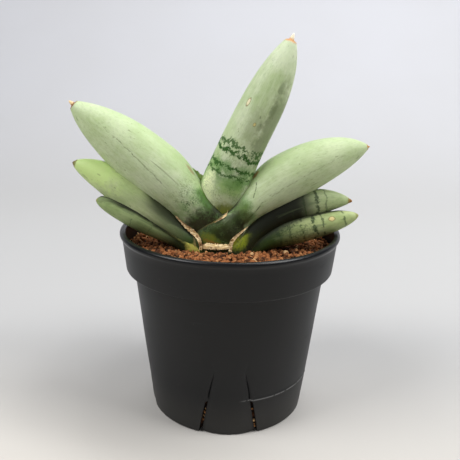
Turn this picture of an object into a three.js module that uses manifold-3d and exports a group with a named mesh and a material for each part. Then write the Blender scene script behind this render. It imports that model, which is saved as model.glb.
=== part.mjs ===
// A potted snake plant of the fat, fan-forming kind: seven cylindrical leaves in two opposite
// rows, each older leaf clasping the younger ones in the channel of its base, growing from a
// short rootstock in granular clay substrate, in a slit-sided nursery pot.
// Millimetres, +Z up. The origin is the centre of the pot's flat foot, and the leaves fan out
// along X, so the broad side of the fan faces -Y.
import * as THREE from 'three';
import { mergeVertices } from 'three/addons/utils/BufferGeometryUtils.js';
import Module from 'manifold-3d';

const wasm = await Module();
wasm.setup();

// ---- driving dimensions ----------------------------------------------------------------

const CLEARANCE = 0.3; // gap kept wherever two pieces touch

const POT = {
  height: 90,
  footRadius: 37.9,
  ledgeHeight: 71.4, // underside of the collar
  ledgeRadius: 46.0, // body radius just under the collar
  collarRadiusLow: 49.9,
  collarRadiusHigh: 51.4,
  lipRadius: 52.5, // outside of the rolled bead
  lipHeight: 3.4,
  edge: 0.6, // width of the small chamfers that break the pot's corners
  wall: 1.1,
  floor: 1.6,
  facets: 48,
};

const SLIT = {
  panels: 4,
  firstPanelAzimuth: 1.7, // degrees round from -Y, towards +X
  width: 1.5,
  height: 18,
  innerRadius: 27, // where the slits stop under the floor
  spreadAtFoot: 13.6, // half the width of a panel at the foot, along the wall
  spreadAtTop: 10.8,
};

const SUBSTRATE = {
  edgeHeight: 79.6,
  crownHeight: 81.0,
  crownRadius: 16,
  edge: 0.7, // how far the fill stands back from the corner of the ledge
};

const ROOTSTOCK = {
  radius: 9.5,
  bottom: 52,
  shoulder: 66,
  top: 73,
  roots: 9,
  rootRadius: 1.3,
  rootSpread: 27,
  rootDepth: 34,
  rootTurn: 0.5, // radians a root drifts round the pot on its way out
  shortRoot: 0.78, // every other root reaches this share of the spread
  facets: 20,
};

const SECTION_SIDES = 18;
const STATIONS = 17;
const TIP_RADIUS = 0.35;
const GROOVE_HALF_ANGLE = THREE.MathUtils.degToRad(58);
const BASE_SQUARENESS = 0.62; // 1 is an ellipse; less makes the clasping base boxier
const INSERTION = 0.55; // share of its base's width that a leaf has where it joins the rootstock
const TAPER_START = 0.8; // share of the way to the belly at which a leaf starts to taper

// Each leaf grows along a Bezier curve in the plane of the fan, given as [x, z] from its
// insertion (root) to the point of its spine (tip). lean is how far that plane drifts in Y.
// Half-widths are in the plane of the fan: at the clasping base, which keeps its width up to
// `fullTo` of the way up, at the neck above it (`neckAt`) and at the fattest part (`bellyAt`).
// clasp is the base's half-depth across the fan, and roundness the blade's depth over its
// width. blunt and taperPower shape the taper: the three young leaves run out to a cone, the
// four old ones end rounder. Youngest leaf first.
const LEAVES = [
  {
    name: 'leaf_center', channelSide: -1, lean: -3, clasp: 4.6, roundness: 0.9,
    root: [-3.2, 77.5], bendLow: [-14, 107], bendHigh: [12.1, 136.9], tip: [26.5, 179.4],
    base: 9.5, fullTo: 0, neck: 11.6, neckAt: 0.34, belly: 10.4, bellyAt: 0.53, blunt: 5.0,
    taperPower: 0.91, groove: 0.25, grooveEnd: 0.3,
  },
  {
    name: 'leaf_left_upper', channelSide: 1, lean: -4, clasp: 9.0, roundness: 0.86,
    root: [-3, 79], bendLow: [-16.8, 109.5], bendHigh: [-55.1, 131.9], tip: [-73.7, 148.4],
    base: 12.5, fullTo: 0.08, neck: 10.2, neckAt: 0.25, belly: 13.4, bellyAt: 0.48, blunt: 2.6,
    taperPower: 0.91, groove: 0.35, grooveEnd: 0.42,
  },
  {
    name: 'leaf_right_upper', channelSide: -1, lean: -1, clasp: 13.0, roundness: 0.86,
    root: [-4.5, 77], bendLow: [-4.6, 98.5], bendHigh: [35.7, 125.1], tip: [64, 129.9],
    base: 17.6, fullTo: 0.11, neck: 7.0, neckAt: 0.3, belly: 12.0, bellyAt: 0.58, blunt: 3.2,
    taperPower: 0.91, groove: 0.3, grooveEnd: 0.42,
  },
  {
    name: 'leaf_left_middle', channelSide: 1, lean: -4, clasp: 11.2, roundness: 0.86,
    root: [-5.5, 75], bendLow: [-20, 84], bendHigh: [-43.5, 109.6], tip: [-73.5, 120.4],
    base: 6.8, fullTo: 0, neck: 5.2, neckAt: 0.3, belly: 9.7, bellyAt: 0.64, blunt: 2.4,
    taperPower: 0.64, groove: 0.7, grooveEnd: 0.5,
  },
  {
    name: 'leaf_right_middle', channelSide: -1, lean: -3, clasp: 13.6, roundness: 0.86,
    root: [0.8, 75.5], bendLow: [7, 91.5], bendHigh: [30.5, 107], tip: [57.3, 104.3],
    base: 8.6, fullTo: 0, neck: 5.8, neckAt: 0.27, belly: 7.9, bellyAt: 0.6, blunt: 2.7,
    taperPower: 0.78, groove: 0.6, grooveEnd: 0.5,
  },
  {
    name: 'leaf_left_lower', channelSide: 1, lean: -6, clasp: 12.2, roundness: 0.9,
    root: [-4, 74.5], bendLow: [-20, 82.5], bendHigh: [-45, 99.5], tip: [-62.9, 103.2],
    base: 6.8, fullTo: 0, neck: 5.4, neckAt: 0.32, belly: 7.3, bellyAt: 0.62, blunt: 2.4,
    taperPower: 0.62, groove: 0.6, grooveEnd: 0.5,
  },
  {
    name: 'leaf_right_lower', channelSide: -1, lean: -6, clasp: 10.5, roundness: 0.95,
    root: [0.5, 72.5], bendLow: [10, 87], bendHigh: [33.5, 90.5], tip: [60.2, 98.6],
    base: 6.8, fullTo: 0, neck: 5.2, neckAt: 0.32, belly: 6.9, bellyAt: 0.6, blunt: 2.9,
    taperPower: 0.62, groove: 0.5, grooveEnd: 0.5,
  },
];

// The hollow in the substrate that the nested leaf bases fill, down to the rootstock.
const NEST = { lowRadius: 8, highRadius: 10.5 };

const DRY_SHEATH = {
  centre: [-5.5, -0.5],
  innerRadius: 13.3,
  thickness: 0.9,
  bottom: 81.4,
  height: 3.6,
  from: THREE.MathUtils.degToRad(232),
  to: THREE.MathUtils.degToRad(302),
};

// ---- materials -------------------------------------------------------------------------

function finish(color, roughness) {
  return new THREE.MeshStandardMaterial({ color, roughness, metalness: 0 });
}

const potPlastic = finish(0x2b2c2e, 0.42);
const clayGrains = finish(0x7a5238, 0.95);
const dryFibre = finish(0xb99a6b, 0.85);
const rootSkin = finish(0xb08a55, 0.9);
const leafSkin = finish(0xb3c79d, 0.45);

// ---- solids ----------------------------------------------------------------------------

function toSolid(geometry) {
  const bare = geometry.index ? geometry.toNonIndexed() : geometry.clone();
  bare.deleteAttribute('normal');
  bare.deleteAttribute('uv');
  const merged = mergeVertices(bare, 1e-4);
  const corners = merged.index.array;
  const whole = [];
  for (let i = 0; i < corners.length; i += 3) {
    const [a, b, c] = [corners[i], corners[i + 1], corners[i + 2]];
    if (a !== b && b !== c && a !== c) whole.push(a, b, c);
  }
  return new wasm.Manifold(new wasm.Mesh({
    numProp: 3,
    vertProperties: new Float32Array(merged.attributes.position.array),
    triVerts: new Uint32Array(whole),
  }));
}

function toMesh(name, solid, material) {
  const { vertProperties, triVerts } = solid.getMesh();
  const geometry = new THREE.BufferGeometry();
  geometry.setAttribute('position', new THREE.BufferAttribute(vertProperties, 3));
  geometry.setIndex(new THREE.BufferAttribute(triVerts, 1));
  geometry.computeVertexNormals();
  const mesh = new THREE.Mesh(geometry, material);
  mesh.name = name;
  return mesh;
}

function latheSolid(profile, facets) {
  const points = profile.map(([radius, height]) => new THREE.Vector2(radius, height));
  const geometry = new THREE.LatheGeometry(points, facets);
  geometry.rotateX(Math.PI / 2); // the lathe turns about Y; the part stands along Z
  return toSolid(geometry);
}

function boxSolid(size, matrix) {
  const geometry = new THREE.BoxGeometry(...size);
  geometry.applyMatrix4(matrix);
  return toSolid(geometry);
}

// ---- pot -------------------------------------------------------------------------------

function bodyRadius(height) {
  const slope = (POT.ledgeRadius - POT.footRadius) / POT.ledgeHeight;
  return POT.footRadius + slope * height;
}

function makePot() {
  const { height, wall, ledgeHeight, collarRadiusLow, collarRadiusHigh, lipRadius, edge } = POT;
  const lipBottom = height - POT.lipHeight;
  const ledgeTop = ledgeHeight + wall;
  const pot = latheSolid([
    [0, 0],
    [POT.footRadius - edge, 0],
    [bodyRadius(edge), edge],
    [POT.ledgeRadius, ledgeHeight],
    [collarRadiusLow - edge, ledgeHeight],
    [collarRadiusLow, ledgeHeight + edge],
    [collarRadiusHigh, lipBottom],
    [lipRadius - edge / 2, lipBottom + edge],
    [lipRadius, height - 2 * edge],
    [lipRadius - edge, height - edge / 2],
    [lipRadius - 2 * edge, height],
    [lipRadius - 3 * edge, height - edge],
    [collarRadiusHigh - wall, lipBottom],
    [collarRadiusLow - wall, ledgeTop + edge],
    [collarRadiusLow - wall - edge, ledgeTop],
    [POT.ledgeRadius - wall, ledgeTop],
    [bodyRadius(POT.floor) - wall, POT.floor],
    [0, POT.floor],
  ], POT.facets);

  // Each bulging panel of the foot stands between two slits that lean towards each other.
  const lean = Math.atan2(SLIT.spreadAtFoot - SLIT.spreadAtTop, SLIT.height);
  const length = POT.ledgeRadius - SLIT.innerRadius;
  const below = 2;
  let slotted = pot;
  for (let panel = 0; panel < SLIT.panels; panel += 1) {
    const azimuth = THREE.MathUtils.degToRad(SLIT.firstPanelAzimuth + (360 / SLIT.panels) * panel);
    for (const side of [-1, 1]) {
      const slit = new THREE.Matrix4()
        .makeRotationZ(azimuth)
        .multiply(new THREE.Matrix4().makeTranslation(side * SLIT.spreadAtFoot, 0, 0))
        .multiply(new THREE.Matrix4().makeRotationY(-side * lean))
        .multiply(new THREE.Matrix4().makeTranslation(
          0, -(SLIT.innerRadius + length / 2), (SLIT.height - below) / 2,
        ));
      slotted = slotted.subtract(boxSolid([SLIT.width, length, SLIT.height + below], slit));
    }
  }
  return slotted;
}

// ---- leaves ----------------------------------------------------------------------------

function ease(share) {
  const s = THREE.MathUtils.clamp(share, 0, 1);
  return s * s * (3 - 2 * s);
}

// How much of the leaf's fattest section is left at t, as it tapers to the spine.
function taper(leaf, t) {
  const taperFrom = TAPER_START * leaf.bellyAt;
  const share = THREE.MathUtils.clamp((t - taperFrom) / (1 - taperFrom), 0, 1);
  return (1 - share ** leaf.blunt) ** leaf.taperPower;
}

function halfWidth(leaf, t) {
  const { lerp } = THREE.MathUtils;
  const toNeck = ease((t - leaf.fullTo) / (leaf.neckAt - leaf.fullTo));
  const toBelly = ease((t - leaf.neckAt) / (leaf.bellyAt - leaf.neckAt));
  const width = t < leaf.neckAt
    ? lerp(leaf.base, leaf.neck, toNeck)
    : lerp(leaf.neck, leaf.belly, toBelly);
  return width * taper(leaf, t);
}

function halfDepth(leaf, t) {
  const depth = THREE.MathUtils.lerp(leaf.clasp, leaf.belly * leaf.roundness, ease(t / leaf.bellyAt));
  return depth * taper(leaf, t);
}

// How far out a squared ellipse of radius 1 reaches at an angle.
function squaredReach(angle, squareness) {
  const corner = 2 / squareness;
  const sum = Math.abs(Math.cos(angle)) ** corner + Math.abs(Math.sin(angle)) ** corner;
  return sum ** (-1 / corner);
}

// One closed loft along the leaf: rings of an ellipse with the channel pressed into its upper
// side, closed by a fan of triangles at the insertion and another at the spine. grow swells
// the whole leaf, for the clearance that its neighbours keep.
function leafSolid(leaf, grow = 0) {
  const curve = new THREE.CubicBezierCurve(...[
    leaf.root, leaf.bendLow, leaf.bendHigh, leaf.tip,
  ].map(([x, z]) => new THREE.Vector2(x, z)));
  const positions = [];
  const triangles = [];
  for (let i = 0; i <= STATIONS; i += 1) {
    const t = i / STATIONS;
    const spot = curve.getPoint(t);
    const along = curve.getTangent(t);
    const up = new THREE.Vector2(-along.y, along.x).multiplyScalar(-leaf.channelSide);
    const insertion = i === 0 ? INSERTION : 1;
    const a = Math.max(halfWidth(leaf, t) * insertion, TIP_RADIUS) + grow;
    const b = Math.max(halfDepth(leaf, t) * insertion, TIP_RADIUS) + grow;
    const squareness = THREE.MathUtils.lerp(BASE_SQUARENESS, 1, ease(t / leaf.bellyAt));
    const press = grow > 0 ? 0 : leaf.groove * (1 - ease(t / leaf.grooveEnd));
    for (let k = 0; k < SECTION_SIDES; k += 1) {
      const angle = (2 * Math.PI * k) / SECTION_SIDES;
      const fromTop = Math.min(angle, 2 * Math.PI - angle);
      const dent = fromTop < GROOVE_HALF_ANGLE
        ? press * Math.cos((Math.PI / 2) * (fromTop / GROOVE_HALF_ANGLE)) ** 2
        : 0;
      const reach = squaredReach(angle, squareness);
      const rise = a * (reach * Math.cos(angle) - dent);
      const across = b * reach * Math.sin(angle);
      positions.push(spot.x + up.x * rise, leaf.lean * t + across, spot.y + up.y * rise);
    }
  }
  const start = curve.getPoint(0);
  const end = curve.getPoint(1);
  const last = curve.getTangent(1);
  positions.push(start.x, 0, start.y - grow);
  positions.push(end.x + last.x * grow, leaf.lean, end.y + last.y * grow);
  const startCorner = SECTION_SIDES * (STATIONS + 1);
  const endCorner = startCorner + 1;
  const face = (p, q, r) => (leaf.channelSide > 0 ? triangles.push(p, q, r) : triangles.push(p, r, q));
  for (let k = 0; k < SECTION_SIDES; k += 1) {
    const next = (k + 1) % SECTION_SIDES;
    for (let i = 0; i < STATIONS; i += 1) {
      const ring = i * SECTION_SIDES;
      const above = ring + SECTION_SIDES;
      face(ring + k, ring + next, above + next);
      face(ring + k, above + next, above + k);
    }
    face(startCorner, next, k);
    const rim = STATIONS * SECTION_SIDES;
    face(endCorner, rim + k, rim + next);
  }
  return new wasm.Manifold(new wasm.Mesh({
    numProp: 3,
    vertProperties: new Float32Array(positions),
    triVerts: new Uint32Array(triangles),
  }));
}

// Every leaf gives way to the rootstock it sits on and to the younger leaves in its channel.
function makeLeaves() {
  const seat = makeRootstock(CLEARANCE);
  return LEAVES.map((leaf, age) => {
    let solid = leafSolid(leaf).subtract(seat);
    for (const younger of LEAVES.slice(0, age)) {
      solid = solid.subtract(leafSolid(younger, CLEARANCE));
    }
    return solid;
  });
}

// ---- rootstock and roots ---------------------------------------------------------------

function rootSolid(index, grow) {
  const turn = (2 * Math.PI * (index + 0.35)) / ROOTSTOCK.roots;
  const reach = ROOTSTOCK.rootSpread * (index % 2 ? ROOTSTOCK.shortRoot : 1);
  const at = (share, height) => {
    const azimuth = turn + share * ROOTSTOCK.rootTurn;
    const radius = reach * share;
    return new THREE.Vector3(Math.cos(azimuth) * radius, Math.sin(azimuth) * radius, height);
  };
  const high = ROOTSTOCK.bottom + 4 + 2 * (index % 3);
  const path = new THREE.CatmullRomCurve3([
    at(0.12, high), at(0.5, high - 4), at(0.85, high - ROOTSTOCK.rootDepth * 0.45),
    at(1, high - ROOTSTOCK.rootDepth),
  ]);
  const section = new THREE.Shape();
  section.absarc(0, 0, ROOTSTOCK.rootRadius + grow, 0, 2 * Math.PI);
  return toSolid(new THREE.ExtrudeGeometry(section, {
    steps: 9, curveSegments: 3, extrudePath: path,
  }));
}

function makeRootstock(grow = 0) {
  const { radius, bottom, shoulder, top } = ROOTSTOCK;
  let solid = latheSolid([
    [0, bottom - grow],
    [radius * 0.7 + grow, bottom - grow],
    [radius + grow, bottom + 4],
    [radius + grow, shoulder],
    [radius * 0.55 + grow, top + grow],
    [0, top + grow],
  ], ROOTSTOCK.facets);
  for (let index = 0; index < ROOTSTOCK.roots; index += 1) {
    solid = solid.add(rootSolid(index, grow));
  }
  return solid;
}

// ---- substrate and dry sheath ----------------------------------------------------------

function makeSubstrate() {
  const { edgeHeight, crownHeight, crownRadius, edge } = SUBSTRATE;
  const inset = POT.wall + CLEARANCE;
  const floorTop = POT.floor + CLEARANCE;
  const ledge = POT.ledgeHeight + POT.wall + CLEARANCE;
  let solid = latheSolid([
    [0, floorTop],
    [bodyRadius(floorTop) - inset, floorTop],
    [POT.ledgeRadius - inset, ledge],
    [POT.collarRadiusLow - inset - edge, ledge],
    [POT.collarRadiusLow - inset, ledge + edge],
    [POT.collarRadiusLow - inset + edge / 2, edgeHeight],
    [crownRadius, crownHeight],
    [0, crownHeight],
  ], POT.facets);
  solid = solid.subtract(makeRootstock(CLEARANCE));
  const above = crownHeight + CLEARANCE;
  const nest = latheSolid([
    [0, ROOTSTOCK.shoulder], [NEST.lowRadius, ROOTSTOCK.shoulder],
    [NEST.highRadius, above], [0, above],
  ], ROOTSTOCK.facets);
  solid = solid.subtract(nest);
  for (const leaf of LEAVES) {
    solid = solid.subtract(leafSolid(leaf, CLEARANCE));
  }
  return solid;
}

function makeDrySheath() {
  const { centre, innerRadius, thickness, from, to } = DRY_SHEATH;
  const outline = new THREE.Shape();
  outline.absarc(centre[0], centre[1], innerRadius + thickness, from, to, false);
  outline.absarc(centre[0], centre[1], innerRadius, to, from, true);
  const geometry = new THREE.ExtrudeGeometry(outline, {
    depth: DRY_SHEATH.height, bevelEnabled: false, curveSegments: 8,
  });
  geometry.translate(0, 0, DRY_SHEATH.bottom);
  let solid = toSolid(geometry);
  for (const leaf of LEAVES) {
    solid = solid.subtract(leafSolid(leaf, CLEARANCE));
  }
  return solid;
}

// ---- assembly --------------------------------------------------------------------------

const plant = new THREE.Group();
plant.add(toMesh('pot', makePot(), potPlastic));
plant.add(toMesh('substrate', makeSubstrate(), clayGrains));
plant.add(toMesh('rootstock', makeRootstock(), rootSkin));
makeLeaves().forEach((solid, index) => {
  plant.add(toMesh(LEAVES[index].name, solid, leafSkin.clone()));
});
plant.add(toMesh('dry_sheath', makeDrySheath(), dryFibre));

export default plant;
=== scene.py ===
# %% [markdown]
# # A potted snake plant
# A young snake plant of the stout, cylindrical-leaved kind stands in a black nursery pot of clay
# granules. The construction model already says how large every piece is and where it stands. This
# script gives each piece its finished surface: living skin, moulded plastic, fired clay and dry
# fibre. It runs from top to bottom, one piece at a time.

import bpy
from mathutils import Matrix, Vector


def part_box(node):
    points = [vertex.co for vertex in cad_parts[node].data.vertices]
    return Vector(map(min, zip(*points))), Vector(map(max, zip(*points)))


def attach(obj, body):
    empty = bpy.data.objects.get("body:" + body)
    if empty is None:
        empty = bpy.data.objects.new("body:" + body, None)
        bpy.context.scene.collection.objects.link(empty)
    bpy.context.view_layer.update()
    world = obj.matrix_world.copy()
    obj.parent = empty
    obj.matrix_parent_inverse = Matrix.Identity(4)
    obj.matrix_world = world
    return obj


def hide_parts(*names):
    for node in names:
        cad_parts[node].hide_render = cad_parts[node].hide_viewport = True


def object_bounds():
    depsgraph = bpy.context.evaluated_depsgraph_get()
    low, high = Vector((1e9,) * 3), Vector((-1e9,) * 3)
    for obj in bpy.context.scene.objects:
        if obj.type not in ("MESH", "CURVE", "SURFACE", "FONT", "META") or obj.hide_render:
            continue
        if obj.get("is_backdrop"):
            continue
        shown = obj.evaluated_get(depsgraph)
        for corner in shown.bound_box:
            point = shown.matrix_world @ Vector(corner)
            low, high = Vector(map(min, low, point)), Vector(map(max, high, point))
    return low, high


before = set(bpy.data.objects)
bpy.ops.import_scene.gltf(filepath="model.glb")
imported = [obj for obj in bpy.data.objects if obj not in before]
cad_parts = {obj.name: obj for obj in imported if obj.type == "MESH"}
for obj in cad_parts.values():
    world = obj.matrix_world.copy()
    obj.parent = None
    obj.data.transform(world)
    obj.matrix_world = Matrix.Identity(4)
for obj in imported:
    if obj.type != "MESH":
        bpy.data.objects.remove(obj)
cad_low, cad_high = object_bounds()
print("the frame has", len(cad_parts), "solids")

# %% [markdown]
# ## Libraries and units
# Everything is in metres, so that the looks land on the construction solids. The parts of a plant
# are easier to think of in millimetres, so their sizes are written as so many MM.

# %% Libraries and units
import math
import random

import bmesh
import bpy
from mathutils import Euler, Matrix, Vector, noise
from mathutils.bvhtree import BVHTree

MM = 0.001
print("frame box, mm:", [round(v / MM, 1) for v in (*cad_low, *cad_high)])

# %% [markdown]
# ## The camera
# A product shot of a small plant is taken from about a forearm's length away, a little above the
# lip of the pot, looking down on it. The camera is placed by three plain facts: its distance from
# the pot's axis, its height over the shelf, and how far it tips down. A real camera is never
# perfectly level, and this one is rolled by a degree.

# %% Camera
CAMERA_DISTANCE = 278.0 * MM
CAMERA_HEIGHT = 171.4 * MM
CAMERA_TIP_DOWN = math.radians(16.63)
CAMERA_ROLL = math.radians(1.16)
CAMERA_LENS = 46.96

camera_data = bpy.data.cameras.new("camera")
camera_data.lens = CAMERA_LENS
camera_data.sensor_width = 36.0
camera_data.clip_start = 0.01
camera = bpy.data.objects.new("camera", camera_data)
bpy.context.scene.collection.objects.link(camera)
camera.matrix_world = (
    Matrix.Translation((0, -CAMERA_DISTANCE, CAMERA_HEIGHT))
    @ Matrix.Rotation(math.radians(90) - CAMERA_TIP_DOWN, 4, "X")
    @ Matrix.Rotation(CAMERA_ROLL, 4, "Z")
)
bpy.context.scene.camera = camera
bpy.context.scene.view_settings.view_transform = "Standard"
print("camera lens, mm:", round(camera_data.lens, 1))

# %% [markdown]
# ## Writing materials as sums
# A procedural material is mostly arithmetic on masks: this much of that colour where that noise is
# high. Nodes hide the arithmetic in wires, so one small class wraps a node's output and lets Python
# operators add the Math nodes.


# %% Signals
class Signal:
    """One output of a shader node, which ordinary arithmetic can be done on."""

    def __init__(self, recipe, socket):
        self.recipe = recipe
        self.socket = socket

    def __add__(self, other):
        return self.recipe.maths("ADD", self, other)

    def __sub__(self, other):
        return self.recipe.maths("SUBTRACT", self, other)

    def __rsub__(self, other):
        return self.recipe.maths("SUBTRACT", other, self)

    def __mul__(self, other):
        return self.recipe.maths("MULTIPLY", self, other)

    __radd__ = __add__
    __rmul__ = __mul__

    def size(self):
        return self.recipe.maths("ABSOLUTE", self)

    def clamped(self):
        return self.recipe.maths("MINIMUM", self.recipe.maths("MAXIMUM", self, 0.0), 1.0)

    def ramp(self, start, end):
        """0 below start, 1 above end, and eased between them. start may be the larger."""
        settings = {"interpolation_type": "SMOOTHSTEP"}
        inputs = {"Value": self, "From Min": start, "From Max": end}
        return self.recipe.signal("Result", "ShaderNodeMapRange", settings, inputs)


# %% [markdown]
# ### The material itself
# A second class is the material while it is being written. One method makes any node: plain values
# go into its own sockets, and signals are wired to them. A short method stands for each kind of
# node that is used often, and gives back its output.


# %% Recipes and colours
class Recipe:
    """A material while it is being written."""

    def __init__(self, name):
        self.material = bpy.data.materials.new(name)
        self.material.use_nodes = True
        self.tree = self.material.node_tree
        self.tree.nodes.clear()

    def node(self, kind, settings=(), inputs=()):
        made = self.tree.nodes.new(kind)
        for key, value in dict(settings).items():
            setattr(made, key, value)
        for key, value in dict(inputs).items():
            if isinstance(value, Signal):
                self.tree.links.new(value.socket, made.inputs[key])
            else:
                made.inputs[key].default_value = value
        return made

    def signal(self, output, kind, settings=(), inputs=()):
        return Signal(self, self.node(kind, settings, inputs).outputs[output])

    def maths(self, operation, *terms):
        return self.signal(0, "ShaderNodeMath", {"operation": operation}, enumerate(terms))

    def place(self):
        """Where the point is on the object, in metres."""
        return self.signal("Object", "ShaderNodeTexCoord")

    def stored(self, name, output="Fac"):
        """What is kept under a name on every vertex: a number, or with "Vector" three of them."""
        return self.signal(output, "ShaderNodeAttribute", {"attribute_name": name})

    def axis(self, vector, letter):
        """One of the three numbers of a vector, by its letter."""
        return self.signal(letter, "ShaderNodeSeparateXYZ", {}, {"Vector": vector})

    def stretched(self, vector, scale, shift=(0, 0, 0)):
        inputs = {"Vector": vector, "Scale": scale, "Location": shift}
        return self.signal("Vector", "ShaderNodeMapping", {}, inputs)

    def noise(self, vector, scale, detail=2.0, roughness=0.5, distortion=0.0, output="Fac"):
        return self.signal(output, "ShaderNodeTexNoise", {}, {
            "Vector": vector, "Scale": scale, "Detail": detail, "Roughness": roughness,
            "Distortion": distortion,
        })

    def cells(self, vector, scale):
        """How far the point is from the middle of the nearest cell."""
        inputs = {"Vector": vector, "Scale": scale}
        return self.signal("Distance", "ShaderNodeTexVoronoi", {}, inputs)

    def vector(self, operation, *terms):
        number = operation in ("DOT_PRODUCT", "LENGTH", "DISTANCE")
        output = "Value" if number else "Vector"
        settings = {"operation": operation}
        return self.signal(output, "ShaderNodeVectorMath", settings, enumerate(terms))

    def wobbled(self, vector, scale, reach):
        """The same place, shifted a little this way and that."""
        shift = self.noise(vector, scale, output="Color")
        centred = self.vector("SUBTRACT", shift, (0.5, 0.5, 0.5))
        return self.vector("MULTIPLY_ADD", centred, (reach, reach, reach), vector)

    def away_from_spot(self, vector, spot, size):
        """0 at the spot and 1 at the rim of an egg round it. All in millimetres."""
        scale = tuple(1 / (s * MM) for s in size)
        shift = tuple(-p / s for p, s in zip(spot, size))
        return self.vector("LENGTH", self.stretched(vector, scale, shift))

    def away_from_line(self, vector, start, end):
        """How far the point is from a straight line between two spots."""
        line = end - start
        inward = self.vector("SUBTRACT", vector, start)
        share = self.vector("DOT_PRODUCT", inward, line / line.length_squared).clamped()
        return self.vector("DISTANCE", vector, self.vector("MULTIPLY_ADD", line, share, start))

    def mix(self, mask, under, over):
        """The colour under where mask is 0, and the colour over where it is 1."""
        inputs = {0: mask, 6: under, 7: over}  # the colour sockets of a Mix node are 6 and 7
        return self.signal(2, "ShaderNodeMix", {"data_type": "RGBA"}, inputs)

    def bump(self, height, distance, strength=1.0):
        inputs = {"Height": height, "Distance": distance, "Strength": strength}
        return self.signal("Normal", "ShaderNodeBump", {}, inputs)

    def surface(self, **sockets):
        """Finishes the material with a Principled surface and gives the material back."""
        named = {key.replace("_", " "): value for key, value in sockets.items()}
        shader = self.node("ShaderNodeBsdfPrincipled", {}, named)
        output = self.node("ShaderNodeOutputMaterial")
        self.tree.links.new(shader.outputs[0], output.inputs["Surface"])
        return self.material


def paint(red, green, blue):
    """A colour as it is picked on a screen, from 0 to 255, made linear for the renderer."""
    shades = [channel / 255 for channel in (red, green, blue)]
    linear = [((v + 0.055) / 1.055) ** 2.4 if v > 0.04 else v / 12.92 for v in shades]
    return (*linear, 1.0)


print("mid grey on a screen is", round(paint(128, 128, 128)[0], 3), "of full light")

# %% [markdown]
# ## Putting a piece in the frame
# Every finished piece goes through the same last steps: its mesh becomes an object at the origin,
# it takes its material, it is shaded smooth except across hard edges, it is hung on the body it
# rides on, and the plain construction solid it stands for is hidden. Nothing here moves on its own,
# so everything rides on the one body.


# %% Piece helper
def mesh_of(shape, name):
    mesh = bpy.data.meshes.new(name)
    shape.to_mesh(mesh)
    shape.free()
    return mesh


def put_in_scene(name, data):
    made = bpy.data.objects.new(name, data)
    bpy.context.scene.collection.objects.link(made)
    return made


def smooth_object(shape, name, material):
    mesh = mesh_of(shape, name)
    mesh.materials.append(material)
    for face in mesh.polygons:
        face.use_smooth = True
    return put_in_scene(name, mesh)


def set_piece(shape, name, node, material, sharp_above=35.0):
    piece = smooth_object(shape, name, material)
    piece.data.set_sharp_from_angle(angle=math.radians(sharp_above))
    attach(piece, "root")
    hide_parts(node)
    print(name, "has", sum(len(face.vertices) - 2 for face in piece.data.polygons), "triangles")


def ease(share):
    """0 up to share 0, 1 from share 1, and eased between them."""
    share = min(max(share, 0.0), 1.0)
    return share * share * (3 - 2 * share)


def between(low, high, share):
    """The value at a share of the way from low to high."""
    return low + (high - low) * share


# %% [markdown]
# ## The leaves, as a rolled sheet
# A leaf of this plant is a fat cylinder that tapers to a spine, and its base opens into a channel
# that clasps the next younger leaf. It could be sculpted, or lofted from drawn sections. Here one
# flat grid is rolled into a tube along a curved path: the grid's one direction goes round the leaf
# and the other along it, and a few laws say how wide, how deep and how hollow the leaf is at each
# height. All seven leaves share the laws, so each leaf is only a list of proportions. Its real
# length comes from the frame: the tip is the point of its construction solid that is furthest
# from the crown.

# %% Where the leaves start and end
rootstock_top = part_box("rootstock")[1].z
CROWN = Vector((0, 0, rootstock_top))
AROUND = 128
ALONG = 220


def tip_of(node):
    corners = [v.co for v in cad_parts[node].data.vertices]
    return max(corners, key=lambda corner: (corner - CROWN).length)


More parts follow.
